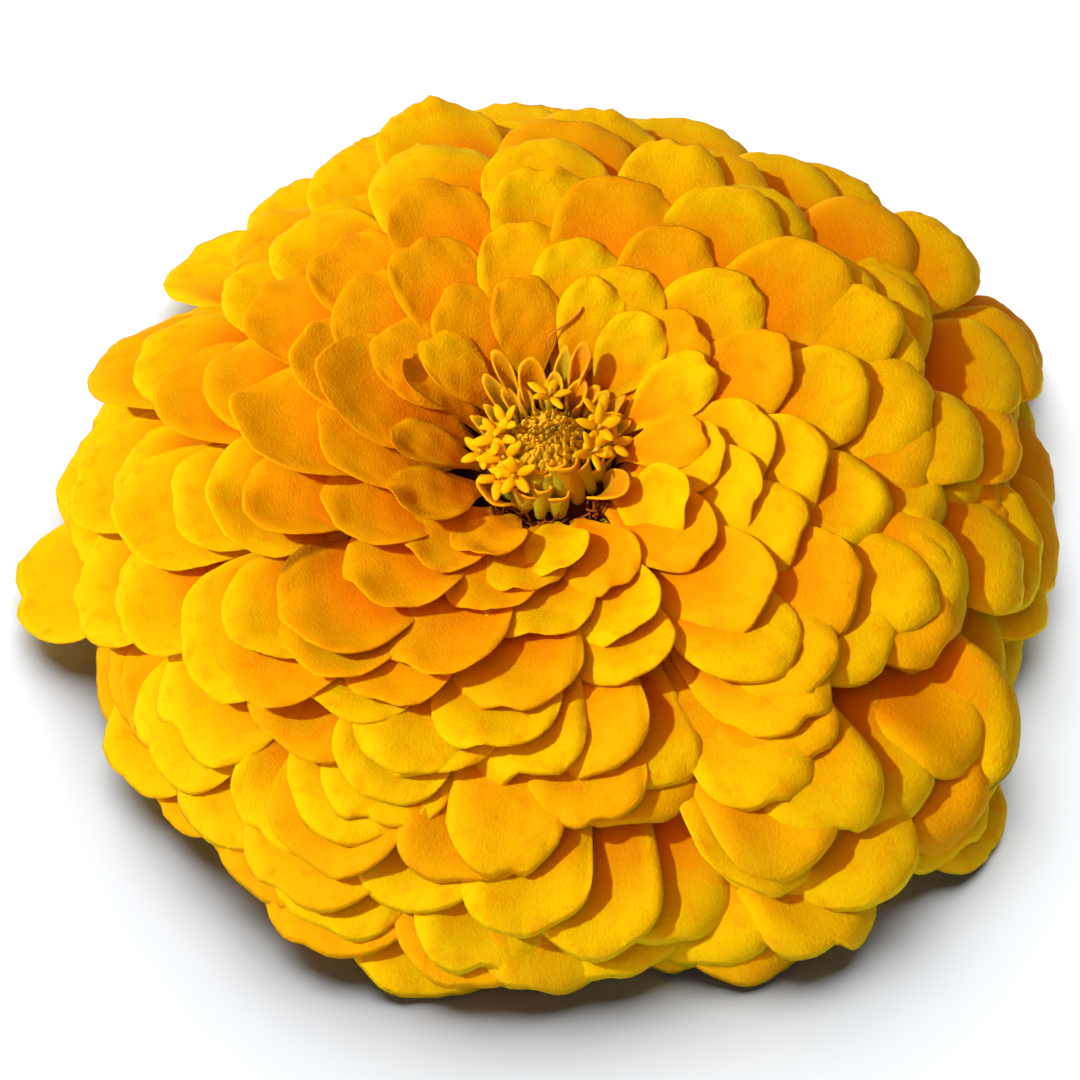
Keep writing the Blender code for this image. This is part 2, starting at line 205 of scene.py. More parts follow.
def makeTurned(name, radius, height, sides, material, node, relief=None, leans=False):
    # A profile turned round the Z axis, from its lowest point on the axis up its outer side.
    angle = np.linspace(0.0, 2 * math.pi, sides, endpoint=False)[None, :]
    reach = radius[1:-1, None] + (0.0 if relief is None else relief(angle, height[1:-1, None]))
    rings = polar(reach, angle, height[1:-1, None])[None]
    ends = polar(radius[[0, -1]], 0.0, height[[0, -1]])[None]
    points, faces, along = closeRings(rings, ends)
    points = leanHead(points) if leans else points
    return makePiece(name, points, faces, material, node, {"along": along})


# The flower head: the same form as the solids have, with more and slightly broader petals.
head = dict(
    petals=330, radius=54.0, domeRise=22.5, rimHeight=4.6, topSlant=math.radians(17.0),
    rimSlant=math.radians(98.0), rimCrowding=-0.08, topSink=3.0, sinkToLevel=0.3,
    goldenAngle=math.radians(137.508), clawHalfWidth=0.7, halfWidth=(3.0, 7.0), widthPower=0.42,
    rootRise=(58.0, -4.0), rootRisePower=0.62, tipRise=(14.0, -30.0), tipRisePower=0.75,
    handleShare=0.38, arcToChord=1.04, shoulderRadius=6.8, shoulderDrop=0.4, flankRadius=10.2,
    flankFromLevel=0.6, receptacleTop=17.2, receptacleBottom=8.0, lowestRoot=8.8,
    seed=11, swaysPerPetal=8, turnSway=math.radians(3.0), lengthSway=0.045, widthSway=0.09,
    levelSway=3.4, cupSway=0.9, tiltSway=0.55,
)

# The middle of the head looks a little towards the front, and the head's outline isn't a circle.
lean = dict(angle=math.radians(12.0), pivotHeight=8.0, reach=45.0, fromHeight=6.0, overHeight=12.0)
# Waves of the outline: how many round the head, how strong, and the direction of the first crest.
outlineWaves = (
    (0, -0.03, 0.0), (1, 0.07, -0.75), (2, 0.015, 2.4),
    (3, 0.015, -2.6), (4, 0.01, -2.9), (5, 0.02, 2.6),
)


def leanHead(points):
    # A turn about a level line across the head, full on its axis and fading out towards the rim and
    # down to the bracts, after the radius has been scaled by 1 plus a few waves round the head.
    x, y, z = np.moveaxis(points, -1, 0)
    radius, angle = np.hypot(x, y), np.arctan2(y, x)
    outline = sum(size * np.cos(order * angle - start) for order, size, start in outlineWaves)
    scale = 1.0 + outline * smooth(radius / head["radius"])
    x, y = x * scale, y * scale
    turn = lean["angle"] * (1.0 - smooth(radius / lean["reach"]))
    turn = turn * smooth((z - lean["fromHeight"]) / lean["overHeight"])
    up = z - lean["pivotHeight"]
    leant = y * np.cos(turn) - up * np.sin(turn)
    return np.stack([x, leant, lean["pivotHeight"] + y * np.sin(turn) + up * np.cos(turn)], axis=-1)


def rootOf(level):  # where a level leaves the receptacle: over its shoulder, then down its flank
    turn = np.clip(level / head["flankFromLevel"], 0.0, 1.0) * math.pi / 2
    radius = mix(head["shoulderRadius"], head["flankRadius"], np.sin(turn))
    return radius, mix(head["receptacleTop"] - head["shoulderDrop"], head["lowestRoot"], level)


def tipOf(level):  # where a level's tip lies on the flattened dome, which dips towards its middle
    slant = mix(head["topSlant"], head["rimSlant"], mix(level, level**3, head["rimCrowding"]))
    sink = head["topSink"] * (1.0 - smooth(level / head["sinkToLevel"]))
    return head["radius"] * np.sin(slant), head["rimHeight"] + head["domeRise"] * np.cos(slant) - sink


def profile(level, share):  # a cubic curve from root to tip, with its slopes set by the level
    r0, z0 = rootOf(level)
    r3, z3 = tipOf(level)
    reach = head["handleShare"] * np.hypot(r3 - r0, z3 - z0)
    rootSlope = np.radians(mix(*head["rootRise"], level ** head["rootRisePower"]))
    tipSlope = np.radians(mix(*head["tipRise"], level ** head["tipRisePower"]))
    r1, z1 = r0 + reach * np.cos(rootSlope), z0 + reach * np.sin(rootSlope)
    r2, z2 = r3 - reach * np.cos(tipSlope), z3 - reach * np.sin(tipSlope)
    back = 1.0 - share
    weights = (back**3, 3 * back**2 * share, 3 * back * share**2, share**3)
    radius = sum(weight * r for weight, r in zip(weights, (r0, r1, r2, r3)))
    return radius, sum(weight * z for weight, z in zip(weights, (z0, z1, z2, z3)))


def levelLength(level):
    r0, z0 = rootOf(level)
    r3, z3 = tipOf(level)
    return head["arcToChord"] * np.hypot(r3 - r0, z3 - z0)


# What makes one petal's blade look as it does, all lengths in mm. A pair holds the value of the
# innermost petals and that of the outer ones, or the least and the most.
blade = dict(
    rows=28, columns=21, thickness=(0.36, 0.14), whorls=8, seed=5, drawsPerPetal=24, step=0.03,
    lowest=0.3, softness=0.6,
    # the outline: rounding, notch and skew of the tip, and its waves, each with phase and divisor
    tipRounding=(1.0, 0.66), tipPower=(2.0, 3.0), notch=(0.0, 0.025), notchWidth=0.22, skew=0.09,
    wander=0.5, wanderWaves=((3.0, 1, 2.0), (5.0, 3, 3.0), (9.0, 5, 9.0)), drawnIn=0.07,
    # the relief: cup, roll at the rim, nod at the tip, twist, groove, and waves from long to fine
    cup=(1.2, 0.7), cupSpread=0.5, roll=(0.2, 1.4), rollSpread=0.5, rollFrom=0.6, tipCurl=(0.0, 1.0),
    curlSpread=0.6, twist=(0.8, 0.9), groove=0.03, grooveWidth=0.9, wave=0.22, waveSpread=0.6,
    waves=((0.42, 0.6), (0.7, -0.4), (0.25, 1.0)), pucker=0.08, ruffle=0.13,
    tuck=0.9, tuckedDepth=0.7, foldFrom=0.35, foldHeight=2.4,
    # how places, lengths and breadths differ from petal to petal
    bunches=13, bunchPull=math.radians(3.0), bunchLean=7.0, turnSpread=math.radians(1.2),
    reachSpread=0.045, reachLimit=0.075, levelSpread=4.2, broader=0.08,
    # hollow petals on the left, deepened to orange by painted shade, flat ones behind, loose ones on the
    # right, fewer behind and left
    hollowTurn=math.radians(165.0), hollowCup=1.3, hollowWidth=0.16, paintedShadeWarmth=1.4,
    calmTurn=math.radians(90.0), calming=0.65, looseTurn=math.radians(-10.0),
    sparseTurn=math.radians(125.0), sparseAtDisc=0.9, broadened=0.14,
    # tiers from the middle to the rim, how strongly levels gather to them, turns round the head, start
    tiers=((3.6, 0.2, 2.0, 0.6), (7.3, 0.18, -5.0, 2.0)),
    # the colour's reach back from the tip, whose deeper orange towards the root is partly painted shade, and
    # the breadth of the rim's colour, a painted highlight
    shadeReach=11.0, rimBand=(1.8, 3.2),
)

# Petals that stand out from their neighbours, by number: what is added to their traits.
oddPetals = {
    # large hollow ones that stand up on the left of the disc
    30: dict(broadest=1.6, reach=0.14, cup=0.9, tipCurl=-0.6, lift=-0.6, dry=0.06),
    72: dict(broadest=1.0, reach=0.06, cup=0.8, lift=-0.8),
    38: dict(broadest=0.8, cup=0.7, lift=-0.8),
    # narrow shaded ones close to the disc
    4: dict(broadest=-0.6, cup=1.2, dry=0.12), 9: dict(broadest=-0.7, cup=1.4, dry=0.1),
    12: dict(cup=1.0, dry=0.08), 7: dict(broadest=0.5, cup=1.0, tipCurl=-0.6), 5: dict(cup=0.9, twist=1.0),
    # folded and dried ones: the fold turns up one side and shows the olive underside
    88: dict(fold=1.6), 102: dict(wave=0.5, roll=1.2, dry=0.15),
    157: dict(wave=0.6, roll=1.4, twist=-1.6, dry=0.2),
    136: dict(wave=0.4, roll=1.0, dry=0.12), 170: dict(wave=0.5, twist=1.8, dry=0.1),
    238: dict(wave=0.6, roll=1.2, twist=1.8, dry=0.25), 293: dict(wave=0.6, roll=1.6, dry=0.2),
    # one that reaches out past the outline, and ones that are turned to close gaps in front
    292: dict(reach=0.16, broadest=0.8), 285: dict(turn=0.07, reach=-0.02),
    300: dict(turn=0.07, reach=-0.02), 184: dict(turn=0.08), 125: dict(turn=-0.09, reach=0.06),
    104: dict(turn=0.06, reach=0.06),
}
# Petals of the outline that are longer or shorter than their neighbours, as a share of their length.
outlineReach = {
    192: -0.04, 236: -0.04, 262: 0.04, 264: 0.04, 268: 0.05, 286: 0.04, 289: 0.05, 295: 0.05, 298: 0.05,
    303: -0.05, 306: 0.04, 308: -0.04, 316: 0.04, 319: -0.08, 321: -0.04, 324: -0.05,
}


def gathered(level, turn):
    # Draws the levels together into tiers and gives how far apart they then are. Each tier wave is
    # a sine of the level, which also turns round the head, so that the tiers don't close to rings.
    ends = smooth(level / 0.1) * smooth((1.0 - level) / 0.06)
    shift, spacing = 0.0, 1.0
    for tiers, strength, winding, start in blade["tiers"]:
        phase = 2 * math.pi * tiers * level + winding * turn + start
        shift = shift + strength * np.sin(phase) / (2 * math.pi * tiers)
        spacing = spacing + strength * np.cos(phase)
    return level + ends * shift, mix(1.0, spacing, ends)


def petalTraits():
    # What differs from petal to petal, as one array for each trait.
    count = head["petals"]
    sways = draws(head["seed"], count, head["swaysPerPetal"])
    extra = draws(blade["seed"], count, blade["drawsPerPetal"])
    number = np.arange(count)
    turn = number * head["goldenAngle"]
    level, spacing = gathered(number / (count - 1), turn)

    def between(low, high):  # rises from 0 to 1 between these two levels
        return smooth((level - low) / (high - low))

    inner = 1.0 - between(0.0, 0.18)
    bunching = np.sin(blade["bunches"] * turn + blade["bunchLean"] * level)
    turn = turn + blade["bunchPull"] * bunching * (1.0 - inner)
    turn = turn + blade["turnSpread"] * extra[:, 16] * (1.0 + 1.5 * inner)
    sideways = facing(turn, blade["hollowTurn"])
    hollow = sideways * between(0.0, 0.25)
    # Petals at the back lie flatter than the others, and the older ones on the right stand apart.
    calm = 1.0 - blade["calming"] * facing(turn, blade["calmTurn"])
    apart = facing(turn, blade["looseTurn"]) * between(0.3, 0.6)
    loose = 1.0 + apart
    outer = between(0.04, 0.54)
    # Near the disc, behind and on the left every second petal is left out and the others are broader,
    # and on the right every third is left out, which opens dark gaps.
    sparse = facing(turn, blade["sparseTurn"]) * between(0.04, 0.16) * (1.0 - between(0.72, 0.88))
    nearDisc = blade["sparseAtDisc"] * between(0.02, 0.08) * (1.0 - between(0.22, 0.38))
    sparse = np.maximum(sparse, nearDisc)
    leftOut = (number % 2 == 1) & (sparse > 0.4)
    leftOut = leftOut | ((number % 3 == 0) & (apart * (1.0 - between(0.68, 0.78)) > 0.5))
    longer = head["lengthSway"] * sways[:, 1] + blade["reachSpread"] * extra[:, 17]
    traits = dict(
        level=level, spacing=spacing, turn=turn, turnSway=head["turnSway"] * sways[:, 0],
        length=levelLength(level),
        reach=1.0 + np.clip(longer, -blade["reachLimit"], blade["reachLimit"]),
        broadest=mix(*head["halfWidth"], level ** head["widthPower"]) * (1.0 + blade["hollowWidth"] * hollow)
        * (1.0 + head["widthSway"] * sways[:, 2] + blade["broader"] * extra[:, 19])
        * (1.0 + blade["broadened"] * sparse),
        cupSway=sways[:, 3], tiltSway=sways[:, 4], shown=~leftOut,
        tuck=blade["tuck"] * np.maximum(sparse, 1.0 - between(0.3, 0.6)),
        tipCurl=mix(*blade["tipCurl"], outer) * mix(1.0, 0.3, hollow) + blade["curlSpread"] * extra[:, 0],
        cup=mix(*blade["cup"], outer) * calm * (1.0 + mix(0.5, 1.0, outer) * blade["cupSpread"] * extra[:, 1])
        + blade["hollowCup"] * hollow * (1.0 + 0.2 * extra[:, 1]),
        roll=mix(*blade["roll"], outer) * mix(1.0, 0.5, hollow) * (1.0 + blade["rollSpread"] * extra[:, 18]),
        tipPower=mix(*blade["tipPower"], 0.5 + 0.5 * extra[:, 2]),
        notch=mix(*blade["notch"], np.clip(extra[:, 3], 0.0, 1.0)),
        skew=blade["skew"] * extra[:, 4], twist=mix(*blade["twist"], outer) * extra[:, 5] * calm * loose,
        wave=blade["wave"] * (1.0 + blade["waveSpread"] * extra[:, 6]) * calm * loose**0.5,
        phases=math.pi * extra[:, 8:14], tint=extra[:, 7],
        # The left petals near the disc get more of the deep orange: painted shade and painted glow of light
        # shining through them.
        warmth=extra[:, 14] + blade["paintedShadeWarmth"] * sideways * (1.0 - between(0.2, 0.45)),
        lift=extra[:, 15] * calm * loose, number=number, dry=np.zeros(count), fold=np.zeros(count),
    )
    for petal, changes in oddPetals.items():
        for trait, change in changes.items():
            traits[trait][petal] += change
    traits["reach"][list(outlineReach)] += list(outlineReach.values())
    return traits


def petalSheets(traits, who):
    # Middle surfaces of the petals numbered in who, with their normals. A column runs along the petal
    # from the root to the tip's outline, which is 1 less a rounding of 1 - (1 - |v|^p)^(1/p).
    def pick(name):
        return perPiece(traits[name][who])

    def phase(order):
        return perPiece(traits["phases"][who, order])

    bow = np.linspace(-math.pi / 2, math.pi / 2, blade["columns"])[None, None, :]
    side = np.sin(bow)
    run = 1.0 - (1.0 - np.linspace(0.0, 1.0, blade["rows"])[None, :, None]) ** 1.3
    level, length, broadest = pick("level"), pick("length"), pick("broadest")
    rounding = mix(*blade["tipRounding"], level**0.5) * broadest / length
    power = pick("tipPower")
    outline = 1.0 - (1.0 - np.clip(np.abs(side) ** power, 0.0, 1.0)) ** (1.0 / power)
    notch = np.exp(-((side - 2 * pick("skew")) / blade["notchWidth"]) ** 2)
    end = 1.0 - rounding * outline - pick("notch") * notch + pick("skew") * side * rounding
    wander = sum(np.sin(waves * bow + phase(order)) / weaker for waves, order, weaker in blade["wanderWaves"])
    end = end + blade["wander"] / length * wander * np.cos(bow)
    widest = 1.0 - rounding

    def tipPartOf(share):
        return np.clip((share - widest) / rounding, 0.0, 1.2)

    def spine(share, aside):
        # The smooth blade: its level's profile, turned aside by the distance from the midline over
        # the radius. Its level rises and falls across it, which cups and tilts it.
        across = aside / broadest
        free = smooth(level / 0.35)
        lift = head["cupSway"] * (across**2 - 0.5) * pick("cupSway")
        lift = head["levelSway"] * (lift - head["tiltSway"] * across * pick("tiltSway")) * mix(0.2, 1.0, free)
        lift = lift + blade["levelSpread"] * pick("lift") * mix(0.5, 1.0, free)
        lift = lift * pick("spacing") * smooth(share)
        lifted = np.clip(level + lift / (head["petals"] - 1), 0.0, 1.0)
        radius, height = profile(lifted, share * pick("reach"))
        turn = pick("turn") + pick("turnSway") * smooth(2.0 * share)
        return polar(radius, turn + aside / np.maximum(radius, 3.0), height)

    def relief(share, aside):
        # How far the blade stands off: cupped with the square of the way out from its middle, rolled
        # down at its rim, nodding at its tip, then twisted, grooved, waved, puckered and ruffled.
        across, tipPart = aside / broadest, tipPartOf(share)
        wayOut = np.sqrt(across**2 + tipPart**2 + 1e-6)
        free = smooth(share / 0.6)
        out = pick("cup") * wayOut**2 * free
        # The side that lies under the petal eight places before it is tucked down instead of cupped.
        tucked = pick("tuck") * smooth((-across - 0.05) / 0.55) * free
        out = out * (1.0 - tucked) - blade["tuckedDepth"] * tucked * np.abs(across)
        rolled = np.clip((wayOut - blade["rollFrom"]) / (1.0 - blade["rollFrom"]), 0.0, 1.3)
        out = out - pick("roll") * rolled**2 * free
        out = out - pick("tipCurl") * tipPart**1.8 + pick("twist") * across * smooth(share)
        folded = np.clip(-across - blade["foldFrom"], 0.0, 1.0) ** 1.5 * smooth((share - 0.4) / 0.4)
        out = out + pick("fold") * folded * blade["foldHeight"]
        groove = np.exp(-((aside / blade["grooveWidth"]) ** 2)) * smooth(share * 2.0)
        out = out - blade["groove"] * groove
        alongMm = share * length
        for order, (lengthwise, crosswise) in enumerate(blade["waves"]):
            wave = np.sin(lengthwise * alongMm + crosswise * aside + phase(2 * order)) / (1.0 + order)
            out = out + pick("wave") * wave * mix(0.25, 1.0, np.clip(wayOut, 0.0, 1.0) ** 2) * free
        puckers = np.sin(1.9 * alongMm + 0.5 * aside + phase(3)) * np.sin(1.5 * aside + phase(1))
        ruffles = np.sin(2.3 * aside + phase(0)) + np.sin(3.7 * aside + phase(4)) * 0.6
        out = out + blade["pucker"] * puckers
        return out + blade["ruffle"] * ruffles * smooth((wayOut - 0.55) / 0.45)

    def surface(share, aside):  # stands off the smooth blade along its normal, kept over the ground
        steps = blade["step"] / length, blade["step"]
        points, normal = withNormals(spine, share, aside, *steps)
        points = leanHead(points + normal * relief(share, aside)[..., None])
        above = (points[..., 2] - blade["lowest"]) / blade["softness"]
        points[..., 2] = blade["lowest"] + blade["softness"] * np.logaddexp(0.0, above)
        return points

    share = run * end
    halfWidth = mix(head["clawHalfWidth"], broadest, smooth(share / widest))
    aside = side * halfWidth * (1.0 - blade["drawnIn"] * np.clip(tipPartOf(share), 0.0, 1.0))
    points, normal = withNormals(surface, share, aside, blade["step"] / length, blade["step"])
    toTip = (end - share) * length
    toRim = np.minimum(toTip, (1.0 - np.abs(side)) * halfWidth * 1.3)
    # Dried petals are brown along their rims, a folded one olive brown underneath and on its flap.
    dry = pick("dry") * (0.3 + 3.0 * (1.0 - smooth(toRim / 0.7)))
    folded = np.clip(pick("fold"), 0.0, 1.0)
    flap = smooth((-0.8 - side) / 0.1) * smooth((share - 0.55) / 0.15)
    # along darkens the colour towards the root, partly the petal's own deeper base and partly painted shade
    # under the petal above; rim lightens the edge as a painted highlight.
    marks = dict(
        along=1.0 - np.clip(toTip / blade["shadeReach"], 0.0, 1.0), aside=aside, alongMm=share * length,
        rim=1.0 - smooth(toRim / mix(*blade["rimBand"], smooth(level / 0.3))), toRim=toRim,
        dry=dry + 0.65 * folded * flap, dryUnder=dry + 0.6 * folded,
        tint=pick("tint"), warmth=pick("warmth"), number=pick("number"),
    )
    return points, normal, marks


def hexColor(code):  # sRGB hex to linear red, green and blue, with full alpha
    parts = np.array([int(code[i:i + 2], 16) for i in (1, 3, 5)]) / 255.0
    linear = np.where(parts <= 0.04045, parts / 12.92, ((parts + 0.055) / 1.055) ** 2.4)
    return (*[float(part) for part in linear], 1.0)


def addNode(tree, kind, settings=None, **links):
    # Adds a node. Settings name its properties or its sockets; links give sockets another's output.
    node = tree.nodes.new(kind)
    for key, value in (settings or {}).items():
        if isinstance(key, str) and hasattr(node, key):
            setattr(node, key, value)
        else:
            node.inputs[key].default_value = value
    for key, source in links.items():
        socket = node.inputs[int(key[1:])] if key[0] == "i" and key[1:].isdigit() else node.inputs[key]
        tree.links.new(source, socket)
    return node


def plantSkin(name, look):
    # A plant's skin. Its colour runs from base to face along the piece, turns to the rim's colour at
    # the edge and to the underside's below, differs from piece to piece between pale and deep, and
    # has soft blotches and veins. Veins and fine grain also make the bump. Patterns are in mm.
    material = bpy.data.materials.new(name)
    material.use_nodes = True
    tree = material.node_tree
    tree.nodes.clear()

    def mark(attribute):
        return addNode(tree, "ShaderNodeAttribute", {"attribute_name": attribute}).outputs["Fac"]

    def ramp(value, low, high, outLow=0.0, outHigh=1.0):
        settings = {1: low, 2: high, 3: outLow, 4: outHigh, "interpolation_type": "SMOOTHSTEP"}
        return addNode(tree, "ShaderNodeMapRange", settings, Value=value).outputs[0]

    def blend(amount, first, second):
        settings = {"data_type": "RGBA", 7: hexColor(second)}
        if isinstance(first, str):
            return addNode(tree, "ShaderNodeMix", {**settings, 6: hexColor(first)}, i0=amount).outputs[2]
        return addNode(tree, "ShaderNodeMix", settings, i0=amount, i6=first).outputs[2]

    def noise(stretch, **settings):
        spread = addNode(tree, "ShaderNodeMapping", {"Scale": stretch}, Vector=place).outputs[0]
        return addNode(tree, "ShaderNodeTexNoise", {"Scale": 1.0, **settings}, Vector=spread).outputs[0]

    if look.get("mapped", True):
        place = addNode(tree, "ShaderNodeUVMap", {"uv_map": "petalMap"}).outputs[0]
    else:
        inMetres = addNode(tree, "ShaderNodeTexCoord").outputs["Object"]
        toMm = {"Scale": (1 / mm, 1 / mm, 1 / mm)}
        place = addNode(tree, "ShaderNodeMapping", toMm, Vector=inMetres).outputs[0]
    vein = 1.0 / look["veinSpacing"]
    veins = noise((vein, look["veinStretch"] * vein, vein), Detail=3.0, Roughness=0.55)
    grain = noise((1.0 / look["grain"],) * 3, Detail=2.0)
    blotch = noise((1.0 / look["blotch"],) * 3, Detail=3.0)
    # On the petals the base colour is partly painted shade, and the rim colour below is a painted highlight.
    color = blend(ramp(mark("along"), *look["baseTo"]), look["base"], look["face"])
    color = blend(ramp(mark("under"), 0.2, 0.8, 0.0, look["underAmount"]), color, look["under"])
    color = blend(ramp(mark("rim"), 0.0, 1.0, 0.0, look["rimAmount"]), color, look["rim"])
    color = blend(ramp(mark("tint"), 0.0, 1.0, 0.0, look["variation"]), color, look["pale"])
    # The warmth mark differs at random from piece to piece, and on the left petals near the disc it is also
    # painted shade.
    color = blend(ramp(mark("warmth"), 0.1, 1.0, 0.0, look["variation"]), color, look["deep"])
    color = blend(ramp(blotch, 0.48, 0.75, 0.0, look["blotchAmount"]), color, look["deep"])
    color = blend(ramp(veins, 0.5, 0.8, 0.0, look["veinAmount"]), color, look["deep"])
    color = blend(mark("dry"), color, look["dry"])
    settings = {"operation": "MULTIPLY_ADD", 1: 0.4}
    height = addNode(tree, "ShaderNodeMath", settings, i0=veins, i2=grain).outputs[0]
    bump = addNode(tree, "ShaderNodeBump", {"Strength": 0.35, "Distance": look["relief"] * mm}, Height=height)
    # Colour and bump are linked, everything else is a constant on its socket. Red light travels
    # furthest in the skin and blue hardly at all. Of the subsurface methods this is the quicker one,
    # and on skins this thin it looks the same.
    shader = addNode(tree, "ShaderNodeBsdfPrincipled", {
        "Roughness": look["roughness"], "IOR": look["ior"], "Specular IOR Level": look["specular"],
        "Sheen Weight": look["sheen"], "Sheen Roughness": 0.5, "Sheen Tint": hexColor(look["pale"]),
        "Subsurface Weight": look["glow"], "Subsurface Radius": (1.0, 0.4, 0.05),
        "Subsurface Scale": 0.6 * mm, "subsurface_method": "BURLEY",
    }, Normal=bump.outputs[0])
    tree.links.new(color, shader.inputs["Base Color"])
    addNode(tree, "ShaderNodeOutputMaterial", Surface=shader.outputs[0])
    return material


# Living zinnia petal, a thin velvety skin of upright cells over a pulp full of yellow pigment:
# matt and saturated, a little light shines through, and fine veins run to the tip.
# Its deeper orange base is partly painted shade under the overlapping petals, and its lighter rim is a
# painted highlight of the lit, rolled-down edge.
petalLook = dict(
    base="#e08800", face="#e4d201", rim="#f0ce02", under="#e2a008", pale="#f2d002", deep="#e68e02",
    dry="#745210", baseTo=(0.0, 1.0), rimAmount=0.8, underAmount=0.8, variation=0.5,
    blotch=2.0, blotchAmount=0.4, veinSpacing=0.5, veinStretch=0.3, veinAmount=0.08, grain=0.3,
    relief=0.36, roughness=0.75, ior=1.42, specular=0.05, sheen=0.02, glow=0.42,
)


def buildPetals(material):
    # Whorls from the middle outwards, each one mesh of closed blades.
    traits = petalTraits()
    edges = np.linspace(0, head["petals"], blade["whorls"] + 1).astype(int)
    for whorl, (first, last) in enumerate(zip(edges[:-1], edges[1:]), start=1):
        name = f"petalWhorl{whorl}"
        sheets = petalSheets(traits, first + np.flatnonzero(traits["shown"][first:last]))
        makeBlades(name, *sheets, blade["thickness"], material, "petal", "ray_petals")
    print("petals built:", int(np.sum(traits["shown"])))


# The knob that the petals grow on is pith, coloured dark brown as painted shade between the claws:
# soft and matt, it only shows as a dark ground.
pithShadeLook = dict(
    base="#5a3008", face="#4a2206", rim="#4a2206", under="#4a2206", pale="#6e4410", deep="#2e1404",
    dry="#5a3a0c", baseTo=(0.2, 0.9), rimAmount=0.0, underAmount=0.0, variation=0.0,
    blotch=1.6, blotchAmount=0.5, veinSpacing=0.8, veinStretch=1.0, veinAmount=0.4, grain=0.2,
    relief=0.2, roughness=0.8, ior=1.42, specular=0.15, sheen=0.0, glow=0.05, mapped=False,
)


def buildReceptacle(material):
    # The roots' curve turned round the axis, closed below by a flat ring and above by a flat top.
    level = np.linspace(1.0, 0.0, 14)
    radius, height = rootOf(level)
    radius = np.concatenate([[0.0, 5.0, head["flankRadius"] - 0.5], radius - 0.3, [3.0, 0.0]])
    bottom, top = head["receptacleBottom"] + 0.05, head["receptacleTop"] - 0.1
    height = np.concatenate([[bottom] * 3, height, [top] * 2])
    makeTurned("receptacle", radius, height, 48, material, "ray_petals", leans=True)
    print("receptacle built")


# The disc: a low dome of closed buds with chaff among them, open star florets, and young petals.
disc = dict(
    seat=17.5, foot=0.4, radius=4.2, rise=4.5, sides=64, buds=200, budRadius=0.4, budSpan=(1.3, 2.4),
    chaff=240, chaffRadius=0.1, chaffSpan=(1.4, 2.7), seed=3,
)


def domePoint(reach, angle, above):  # over the dome's half ellipsoid, at this share of its radius
    height = disc["seat"] + disc["foot"] + disc["rise"] * np.sqrt(np.clip(1.0 - reach**2, 0.0, 1.0)) + above
    return polar(disc["radius"] * reach, angle, height)


def outward(angle):  # the level direction away from the axis
    return polar(1.0, angle, 0.0)


def fingerShape(share):  # swells over the first third and tapers to a narrow tip
    return mix(0.6, 1.0, smooth(share / 0.35)) * np.clip(1.0 - share**2.2, 0.0, 1.0) ** 0.8


def lobeShape(share):  # swells over the first half and draws in to a blunt point
    return mix(0.62, 1.0, smooth(share / 0.5)) * np.clip(1.0 - share**3, 0.0, 1.0) ** 0.65


def budShape(share):  # swells over the first half and closes to a blunt tip, as a share of the radius
    swell = mix(0.5, 1.0, smooth(share / 0.55))
    return swell * np.sqrt(np.clip(1.0 - np.clip((share - 0.55) / 0.45, 0.0, 1.0) ** 2, 0.0, 1.0))


# Closed buds, waxy young tissue: green low down and golden where they ripen, a little glossier
# than the petals, because nothing velvety covers them yet.
budLook = dict(
    base="#b0b01c", face="#e6c81e", rim="#d9a70e", under="#66700c", pale="#f4dc2c", deep="#c0b01a",
    dry="#5a3a0c", baseTo=(0.1, 0.9), rimAmount=0.0, underAmount=0.0, variation=0.6,
    blotch=0.9, blotchAmount=0.4, veinSpacing=0.25, veinStretch=1.0, veinAmount=0.2, grain=0.1,
    relief=0.08, roughness=0.5, ior=1.45, specular=0.3, sheen=0.0, glow=0.35, mapped=False,
)
# Chaff between the florets, thin dried paper scales: matt, straw to brown, almost without gloss.
chaffLook = dict(
    budLook, base="#8a740c", face="#dcac12", pale="#ecc22a", deep="#a8800c", roughness=0.85,
    specular=0.1, glow=0.05,
)
# Open floret lobes, short velvety fingers: the strongest golden yellow of the flower, matt.
lobeLook = dict(
    petalLook, base="#e8b406", face="#f8d408", pale="#fce41c", deep="#f4c404", mapped=False,
    blotch=1.2, variation=0.35, veinStretch=1.0, veinSpacing=0.3, relief=0.08,
)
# Withered styles and rolled dead tips, dried in the sun: dull red-brown crumbs, darkening to near black as
# painted shade of the gap they lie in.
witheredAndShadeLook = dict(chaffLook, base="#3a1606", face="#9a5214", pale="#c87a2a", deep="#4a1e08")
# A long style that has faded in the sun: dry and matt like the crumbs, but pinkish tan.
fadedLook = dict(chaffLook, base="#cc7c20", face="#dc9028", pale="#e8a43c", deep="#b46c1c")
# The dome between the buds, the same young tissue but older and duller.
domeLook = dict(budLook, base="#94800e", face="#c4a81c", pale="#d0b020", deep="#98800e")


def buildDome(material):
    # A half ellipsoid with small pits between the buds, over a short foot that widens to the seat.
    slope = np.linspace(0.0, math.pi / 2, 22)[:-1]
    foot = disc["seat"] + disc["foot"]
    top = foot + disc["rise"]
    radius = np.concatenate([[0.0, disc["radius"] + 0.9], disc["radius"] * np.cos(slope), [0.0]])
    height = np.concatenate([[disc["seat"] - 0.35] * 2, foot + disc["rise"] * np.sin(slope), [top]])

    def pits(angle, level):
        return 0.12 * np.sin(21 * angle + 9 * level) * np.sin(13 * angle - 7 * level)

    makeTurned("discDome", radius, height, disc["sides"], material, "disc", pits, leans=True)


